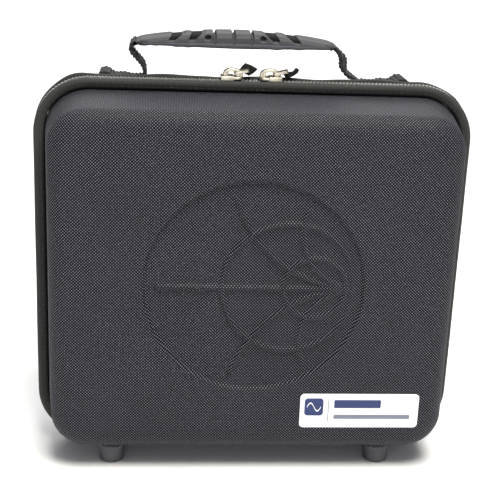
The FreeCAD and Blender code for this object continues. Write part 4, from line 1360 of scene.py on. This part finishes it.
@dataclass
class Grip:
    """Lens-shaped moulded grip with slanted grooves and cross notches, in mm."""

    steps: int = 272
    around: int = 44
    end_height: float = 5.0
    notches: tuple[float, ...] = (-28.5, -15.5, -3.0)
    notch_depth: float = 2.6
    bumps: tuple[float, ...] = (-54.0, -47.0, 14.0, 29.0)  # finger bumps along the underside
    bump_height: float = 0.5
    bump_reach: float = 3.0
    grooves: tuple[tuple[float, float], ...] = (  # (x at the grooves' level, slant)
        (-56.0, 11.0), (-42.5, 10.0), (12.0, -10.0), (26.5, -11.0))
    groove_level: float = 0.72  # share of the height
    groove_depth: float = 1.6
    dimples: tuple[float, ...] = (-33.0, 4.5)
    core: float = 0.38  # share of the height at which the grip is widest
    parting: float = 0.6  # how far the moulding's parting line stands out
    recess_from: float = 0.9  # depth from which a groove gets the painted shade
    underside: float = 0.1  # share of the height, from the underside, that gets painted shadow too
    bounce_lit_below: float = 0.37  # share of the height up to which the rubber is painted paler as bounce light
    box: Extent = field(init=False)

    def __post_init__(self) -> None:
        """Read the grip's box."""
        self.box = Extent.of("handle_grip")

    def station(self, x: float) -> tuple[float, float, float]:
        """The section at x.

        Args:
            x: place along the grip.

        Returns:
            Underside, top and half width.
        """
        share = (x - self.box.left) / (self.box.right - self.box.left)
        swell = 1 - abs(2 * share - 1) ** 2.1
        rise = self.box.high - self.box.low - self.end_height
        top = self.box.low + self.end_height + rise * swell
        under = self.box.low + 0.5 + 0.55 * math.cos(math.tau * share)
        for bump in self.bumps:
            under -= self.bump_height * math.exp(-((x - bump) / self.bump_reach) ** 2)
        for notch in self.notches:
            top -= self.notch_depth * smoothstep(1.7 - abs(x - notch) / 0.55)
        blunt = min(share, 1 - share) * (self.box.right - self.box.left)
        half = (self.box.back - self.box.front) / 2 - 2.2 * (1 - smoothstep(blunt / 9))
        nose = 1 - 0.35 * (1 - smoothstep(blunt / 4))
        middle = (top + under) / 2
        return middle + (under - middle) * nose, middle + (top - middle) * nose, half

    def groove(self, x: float, high: float) -> float:
        """Depth of the slanted grooves beside the notches.

        Args:
            x: place along the grip.
            high: 0 at the underside to 1 at the top.

        Returns:
            Depth in mm.
        """
        found = 0.0
        for start, slant in self.grooves:
            line = start + slant * (high - self.groove_level)
            inside = smoothstep((high - 0.5) / 0.12)
            wedge = 0.9 + 3.4 * max(high - 0.5, 0)
            found = max(found, inside * smoothstep(2.2 - abs(x - line) / wedge))
        for dimple in self.dimples:
            away = math.hypot((x - dimple) / 2.2, (high - self.groove_level) / 0.13)
            found = max(found, smoothstep(1.5 - away))
        return self.groove_depth * found

    def build(self) -> None:
        """Loft the sections, with rounded ends."""
        bm = bmesh.new()
        turn = bm.verts.layers.float.new("turn")
        made = bmesh.ops.create_circle(bm, cap_ends=False, segments=self.around, radius=MM,
                                       matrix=Matrix.Rotation(math.pi / 2, 4, "Y"))
        verts = made["verts"]
        for vert in verts:
            vert[turn] = math.atan2(vert.co.z, vert.co.y)
        edges = list({e for v in verts for e in v.link_edges})
        first = edges
        for step in range(self.steps + 1):
            x = self.box.left + (self.box.right - self.box.left) * step / self.steps
            if step:
                grown = bmesh.ops.extrude_edge_only(bm, edges=edges)["geom"]
                verts = [g for g in grown if isinstance(g, bmesh.types.BMVert)]
                edges = [g for g in grown if isinstance(g, bmesh.types.BMEdge)]
            under, top, half = self.station(x)
            for vert in verts:
                vert.co = self.surface(x, vert[turn], under, top, half)
        for ends in (first, edges):
            bmesh.ops.holes_fill(bm, edges=ends, sides=self.around)
        zones = []
        for face in bm.faces:
            spot = face.calc_center_median() / MM
            under, top, _ = self.station(spot.x)
            high = (spot.z - under) / (top - under)
            # Deep grooves and the underside take the second material, whose colour is painted
            # shade and shadow.
            dark = self.groove(spot.x, high) > self.recess_from or high < self.underside
            # Below that share the third material paints the floor's bounce light onto the rubber.
            zones.append(1 if dark else 2 if high < self.bounce_lit_below else 0)
        item = add_piece(bm, "moulded_grip", GRIP_RUBBER, "handle", ["handle_grip"])
        item.data.materials.append(GRIP_PAINTED_SHADE.material())
        item.data.materials.append(GRIP_LOWER.material())
        for face, zone in zip(item.data.polygons, zones):
            face.material_index = zone
        modifier(item, "SUBSURF", levels=1, render_levels=1)

    def surface(self, x: float, turn: float, under: float, top: float, half: float) -> Vector:
        """A point of the grip's surface in metres.

        Args:
            x: place along the grip.
            turn: angle around the section, 0 at the rear.
            under: underside at x.
            top: top at x.
            half: half width at x.

        Returns:
            The point.
        """
        across, rise = math.cos(turn), math.sin(turn)
        wide = math.copysign(abs(across) ** 0.55, across)
        tall = math.copysign(abs(rise) ** (0.75 if rise > 0 else 0.5), rise)
        middle = under + (top - under) * self.core
        z = middle + tall * ((top - middle) if rise > 0 else (middle - under))
        high = (z - under) / (top - under)
        sunk = self.groove(x, high)
        y = (self.box.front + self.box.back) / 2 + wide * (half - sunk * abs(across))
        parting = self.parting * math.exp(-((high - self.core) / 0.06) ** 2)
        return Vector((x, y + math.copysign(parting, across), z - sunk * max(rise, 0) * 0.6)) * MM


@dataclass
class Strap:
    """Ribbed webbing: one leg at each end, and the sewn folds on the rear half, in mm."""

    rib: float = 2.7  # from rib to rib
    rib_height: float = 0.42
    thick: float = 2.0
    twist: float = 0.3  # of the right leg, in mm along x for each mm of width
    stitch: float = 2.4
    stitch_pitch: float = 3.4
    web: Extent = field(init=False)
    grip: Extent = field(init=False)
    anchor: Extent = field(init=False)

    def __post_init__(self) -> None:
        """Read where the strap, the grip and the sewn ends are."""
        self.web = Extent.of("handle_webbing")
        self.grip = Extent.of("handle_grip")
        self.anchor = Extent.of("handle_anchor_right")

    @property
    def middle(self) -> float:
        """The strap's middle across its width."""
        return self.web.middle[1]

    @property
    def slope(self) -> float:
        """How much the wall under the strap falls for each mm to the rear."""
        return math.tan(math.radians(ShellForm.draft))

    @property
    def wall(self) -> float:
        """Height of the wall under the strap's middle."""
        return OUTLINE.high - ShellForm.wall_inset - self.middle * self.slope

    def ribbed(self, item: bpy.types.Object) -> None:
        """Give a flat strip its thickness and round its edges."""
        modifier(item, "SOLIDIFY", thickness=self.thick * MM, offset=0)
        soften(item, 0.5, 2, 50)

    def strip(self, bm: bmesh.types.BMesh, path: Sequence[tuple[float, float]]) -> None:
        """A strip with ribs across it that lies on the slope of the wall near its root.

        Args:
            bm: the mesh.
            path: (x, z) in mm.
        """
        verts = ribbon(bm, smooth_path(path, 14), self.web.front, self.web.back, 6)
        layer = bm.verts.layers.float_vector[WEAVE]
        bm.normal_update()
        for vert in verts:
            wave = math.sin(math.tau * vert[layer].x / (self.rib * MM))
            vert.co += vert.normal * self.rib_height * wave * MM
            low = 1 - smoothstep((vert.co.z / MM - self.wall - 4) / 8)
            vert.co.z -= (vert.co.y / MM - self.middle) * self.slope * low * MM

    def legs(self) -> None:
        """Both legs with the run through the grip, bending where they leave the case."""
        left, right, inner = self.grip.left, self.grip.right, self.anchor.left
        slot = self.grip.low + 2.5
        base = self.wall + 4.2
        bm = bmesh.new()
        self.strip(bm, [
            (-inner - 3, base - 1.1), (-inner + 0.6, base + 0.4), (-inner + 1.6, base + 4),
            (-inner + 0.2, base + 11),
            (left - 2.6, slot - 6.5), (left - 3.4, slot - 2.4), (left - 0.4, slot - 0.2),
            (left + 6, slot), (0, slot), (right - 5, slot), (right - 0.5, slot - 0.4),
            (right + 3, slot - 3.2), (right + 6.1, slot - 7.6), (right + 7.2, slot - 11.5),
            (right + 8.3, slot - 15), (right + 10.4, slot - 18.5), (right + 15, slot - 21.2),
            (inner - 3.2, base + 2.2), (inner + 1.5, base - 0.9)])
        middle = self.middle * MM
        for vert in bm.verts:
            if vert.co.x > right * MM:
                share = math.exp(-((vert.co.z / MM - slot + 11) / 6.5) ** 2)
                vert.co.x += self.twist * share * (vert.co.y - middle)
        item = add_piece(bm, "carry_strap", WEBBING, "", ["handle_webbing"], outward=False)
        self.ribbed(item)
        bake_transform(item)

    def anchors(self) -> None:
        """Each end folded back on itself and sewn flat, slightly lifted at the fold."""
        inner, outer = self.anchor.left, self.anchor.right
        under, over = self.wall + 1.6, self.wall + 6.0
        fold = [(inner - 1.5, over + 0.5), (inner + 7, over), (inner + 13, over + 0.9),
                (inner + 19, over + 0.8), (outer - 4.5, over + 3.4), (outer - 0.6, over + 2.4),
                (outer + 0.2, under + 1.0), (outer - 4, under), (inner + 1, under)]
        for hand in Hand:
            bm = bmesh.new()
            self.strip(bm, [(hand.value * x, z) for x, z in fold])
            item = add_piece(bm, hand.word + "_strap_fold", WEBBING, "rear_case",
                             ["handle_anchor_" + hand.word], outward=False)
            self.ribbed(item)
            self.stitching(hand, over + 1.15)

    def stitching(self, hand: Hand, z: float) -> None:
        """A sewn box with a cross over one fold.

        Args:
            hand: which end it is on.
            z: height of the thread in mm.
        """
        left, right = self.anchor.left + 3, self.anchor.right - 6
        front, back = self.web.front + 3, self.web.back - 3
        ends = ((left, front), (right, front), (right, back), (left, back))
        runs = list(zip(ends, ends[1:] + ends[:1])) + [(ends[0], ends[2]), (ends[1], ends[3])]
        bm = bmesh.new()
        for (x_from, y_from), (x_to, y_to) in runs:
            length = math.hypot(x_to - x_from, y_to - y_from)
            count = round(length / self.stitch_pitch)
            along = Vector(((x_to - x_from) * hand.value, y_to - y_from, 0)) / length
            for index in range(count):
                share = (index + 0.5) / count
                x = hand.value * (x_from + (x_to - x_from) * share)
                y = y_from + (y_to - y_from) * share
                sag = (y - self.middle) * self.slope
                add_stitch(bm, Vector((x, y, z - sag)) * MM, along, self.stitch)
        add_piece(bm, hand.word + "_fold_stitches", THREAD, "rear_case")

    def build(self) -> None:
        """Legs and folds."""
        self.legs()
        self.anchors()


# ----------------------------------------------------------------- interior


def softened_copy(node: str, name: str, finish: Finish, body: str,
                  width: float) -> bpy.types.Object:
    """A copy of a CAD node with rounded edges.

    Args:
        node: the CAD node that the piece stands for.
        name: the piece's name.
        finish: what it is made of.
        body: the body that it moves with.
        width: width of the rounds in mm.

    Returns:
        The piece.
    """
    bm = bmesh.new()
    bm.from_mesh(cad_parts[node].data)
    bmesh.ops.remove_doubles(bm, verts=bm.verts, dist=0.005 * MM)
    bmesh.ops.dissolve_limit(bm, angle_limit=math.radians(1), verts=bm.verts, edges=bm.edges)
    item = add_piece(bm, name, finish, body, [node], smooth=False)
    soften(item, width, 3, 40)
    return item


@dataclass
class Lining:
    """Brushed lining that follows the inside of one shell, in mm."""

    side: Side
    wall_gap: float = 4.3  # from the outside of the shell's wall
    face_gap: float = 4.25  # from the outside of its face
    face_round: float = 10.0
    thickness: float = 0.8

    def build(self) -> None:
        """The lining, from the rim to its flat bottom."""
        inset = ShellForm.wall_inset + self.wall_gap
        form = ShellForm(self.side, wall_inset=inset, face_round=self.face_round)
        rim, *rest = form.profile()
        shift = -self.side.value * self.face_gap
        bm = bmesh.new()
        _, edges = OUTLINE.sweep(bm, [rim, *((inset, y + shift) for inset, y in rest)])
        bmesh.ops.holes_fill(bm, edges=edges, sides=len(edges))
        item = add_piece(bm, self.side.word + "_tricot", LINING, self.side.body,
                         [self.side.word + "_lining"])
        modifier(item, "SOLIDIFY", thickness=self.thickness * MM, offset=-1)


@dataclass
class FoamInsert:
    """The glued foam layers and dividers of the rear half."""

    nodes: tuple[str, ...] = ("foam_base", "foam_frame", "foam_divider_left",
                              "foam_divider_right", "foam_divider_cross")
    edge_round: float = 0.9  # mm, as foam's cut edges give

    def build(self) -> None:
        """Each layer and divider, as its own padded piece."""
        for node in self.nodes:
            item = softened_copy(node, node.replace("foam", "soft"), FOAM, "rear_case",
                                 self.edge_round)


@dataclass
class LidPocket:
    """Knitted net stretched across the lid, with its elastic hem, in mm."""

    cell: float = 3.6  # from thread to thread
    thread: float = 1.15
    bow: float = 0.8  # of the net's middle into the case
    corner_inset: float = 12.0  # of the panel's corners inside the outline's
    hem_round: float = 0.7

    def build(self) -> None:
        """The net with its two rounded lower corners, then the hem."""
        low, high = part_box("mesh_pocket")
        wide, tall = high.x - low.x, high.z - low.z
        columns, rows = round(wide / MM / self.cell), round(tall / MM / self.cell)
        centre = (low + high) / 2
        turned = Matrix.Translation(centre) @ Matrix.Rotation(math.pi / 2, 4, "X")
        size = Matrix.Diagonal((wide / 2, tall / 2, 1, 1))
        bm = bmesh.new()
        bmesh.ops.create_grid(bm, x_segments=columns, y_segments=rows, size=1,
                              matrix=turned @ size)
        corner = (OUTLINE.corner - self.corner_inset) * MM
        for vert in bm.verts:
            sag = math.cos(math.pi * (vert.co.x - centre.x) / wide)
            vert.co.y -= self.bow * MM * sag * math.sin(math.pi * (vert.co.z - low.z) / tall)
            over_x = max(abs(vert.co.x) - (high.x - corner), 0)
            over_z = max(low.z + corner - vert.co.z, 0)
            if over_x and over_z:
                square = max(over_x, over_z)
                round_off = square / math.hypot(over_x, over_z)
                vert.co.x -= math.copysign(over_x * (1 - round_off), vert.co.x)
                vert.co.z += over_z * (1 - round_off)
        bmesh.ops.wireframe(bm, faces=bm.faces[:], thickness=self.thread * MM, use_replace=True,
                            use_boundary=True)
        item = add_piece(bm, "pocket_net", NET, "lid", ["mesh_pocket"])
        hem = softened_copy("pocket_hem", "elastic_edge", ELASTIC, "lid", self.hem_round)


@dataclass
class FabricHinge:
    """Tape along the bottom that bends with the lid."""

    segments: tuple[int, int] = (40, 24)  # along and across the tape
    bend_half: float = 2.5  # mm to each side of the zip's plane

    def build(self) -> None:
        """The tape as a grid with its real thickness."""
        low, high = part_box("hinge_tape")
        centre = (low + high) / 2
        size = Matrix.Diagonal(((high.x - low.x) / 2, (high.y - low.y) / 2, 1, 1))
        bm = bmesh.new()
        bmesh.ops.create_grid(bm, x_segments=self.segments[0], y_segments=self.segments[1],
                              size=1, matrix=Matrix.Translation(centre) @ size)
        item = add_piece(bm, "fabric_hinge", HINGE_CLOTH, "", ["hinge_tape"], outward=False)
        modifier(item, "SOLIDIFY", thickness=(high.z - low.z), offset=0)
        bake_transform(item)


# Nodes whose CAD shape is kept, by the end of their names.
CARRIED = {
    "zip_tape": ZIP_CLOTH, "foot_screws": SCREW_STEEL, "foot_nuts": SCREW_STEEL,
    "handle_backing_plate": BACKING,
}


def dress_carried_nodes() -> None:
    """Give the CAD nodes that stay their finishes."""
    for name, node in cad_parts.items():
        finish = next((f for key, f in CARRIED.items() if name.endswith(key)), None)
        if finish and not node.hide_render:
            node.data.materials.clear()
            node.data.materials.append(finish.material())
            log.info("finish %s on %s", finish.name, name)


# ------------------------------------------------------------------- studio


@dataclass
class Studio:
    """Camera, floor and soft lights of a plain white product shot.

    The camera's lengths are in mm, and those of the lights and the floor in metres.
    """

    azimuth: float = -4.9
    elevation: float = 19.03
    roll: float = 2.42
    distance: float = 795.8
    aim: tuple[float, float, float] = (-1.31, -20.0, 156.11)
    lens: float = 82.8
    floor_half: float = 6.0
    floor_colour: str = "FAFAFA"
    world_light: float = 0.2

    def camera(self) -> None:
        """Aim the camera at the case."""
        turn, rise = math.radians(self.azimuth), math.radians(self.elevation)
        back = Vector((math.sin(turn) * math.cos(rise), -math.cos(turn) * math.cos(rise),
                       math.sin(rise)))
        right = (-back).cross(Vector((0, 0, 1))).normalized()
        up = back.cross(right)
        tilt = Matrix.Rotation(math.radians(self.roll), 3, "Z")
        axes = Matrix((right, up, back)).transposed() @ tilt
        data = bpy.data.cameras.new("camera")
        data.lens = self.lens
        data.sensor_width = 36
        data.clip_end = 20
        item = bpy.data.objects.new("camera", data)
        spot = (Vector(self.aim) + back * self.distance) * MM
        item.matrix_world = Matrix.Translation(spot) @ axes.to_4x4()
        bpy.context.scene.collection.objects.link(item)
        bpy.context.scene.camera = item

    def light(self, name: str, spot: Sequence[float], aim: Sequence[float], width: float,
              power: float, colour: str = "FFFFFF") -> None:
        """One soft square light.

        Args:
            name: its name.
            spot: place in metres.
            aim: point that it faces, in metres.
            width: side of the square in metres.
            power: watts.
            colour: sRGB hex.
        """
        data = bpy.data.lights.new(name, "AREA")
        data.energy = power
        data.size = width
        data.color = srgb(colour)[:3]
        item = bpy.data.objects.new(name, data)
        facing = (Vector(spot) - Vector(aim)).to_track_quat("Z", "Y")
        item.matrix_world = Matrix.Translation(spot) @ facing.to_matrix().to_4x4()
        bpy.context.scene.collection.objects.link(item)

    def build(self) -> None:
        """Camera, lights, floor and world."""
        self.camera()
        self.light("top_softbox", (0.15, -0.55, 1.4), (0, 0, 0.12), 0.6, 27, "FFFDF4")
        self.light("front_softbox", (-0.3, -1.9, 0.7), (0, 0, 0.1), 1.0, 4, "EAEAFF")
        self.light("floor_wash", (0.0, 2.6, 2.4), (0, 2.4, 0), 3.0, 120)
        self.light("near_wash", (0.0, -1.5, 2.4), (0, -1.4, 0), 2.0, 9)
        self.light("under_fill", (0.0, -1.7, 0.16), (0, 0, 0.0), 0.3, 1.6)
        self.floor()
        world = bpy.data.worlds.new("studio")
        world.use_nodes = True
        background = world.node_tree.nodes["Background"]
        background.inputs["Color"].default_value = srgb("FFFFFF")
        background.inputs["Strength"].default_value = self.world_light
        bpy.context.scene.world = world
        bpy.context.scene.view_settings.view_transform = "Standard"

    def floor(self) -> None:
        """A plain sheet of white paper under the case."""
        bm = bmesh.new()
        bmesh.ops.create_grid(bm, x_segments=1, y_segments=1, size=self.floor_half)
        mesh = bpy.data.meshes.new("floor")
        bm.to_mesh(mesh)
        bm.free()
        floor = bpy.data.objects.new("floor", mesh)
        bpy.context.scene.collection.objects.link(floor)
        paper = bpy.data.materials.new("white_paper")
        paper.use_nodes = True
        shader = paper.node_tree.nodes["Principled BSDF"]
        shader.inputs["Base Color"].default_value = srgb(self.floor_colour)
        shader.inputs["Roughness"].default_value = 0.9
        mesh.materials.append(paper)


def main() -> None:
    """Build every piece in order, then the studio."""
    logging.basicConfig(level=logging.INFO, format="%(message)s")
    for side in Side:
        Shell(side).build()
        Binding(side).build()
        Lining(side).build()
        for hand in Hand:
            RubberFoot(side, hand).build()
    ZipCoil().build()
    for hand in Hand:
        SliderAndPull(hand).build()
    Badge().build()
    Grip().build()
    Strap().build()
    FoamInsert().build()
    LidPocket().build()
    FabricHinge().build()
    dress_carried_nodes()
    Studio().build()


if __name__ == "__main__":
    main()
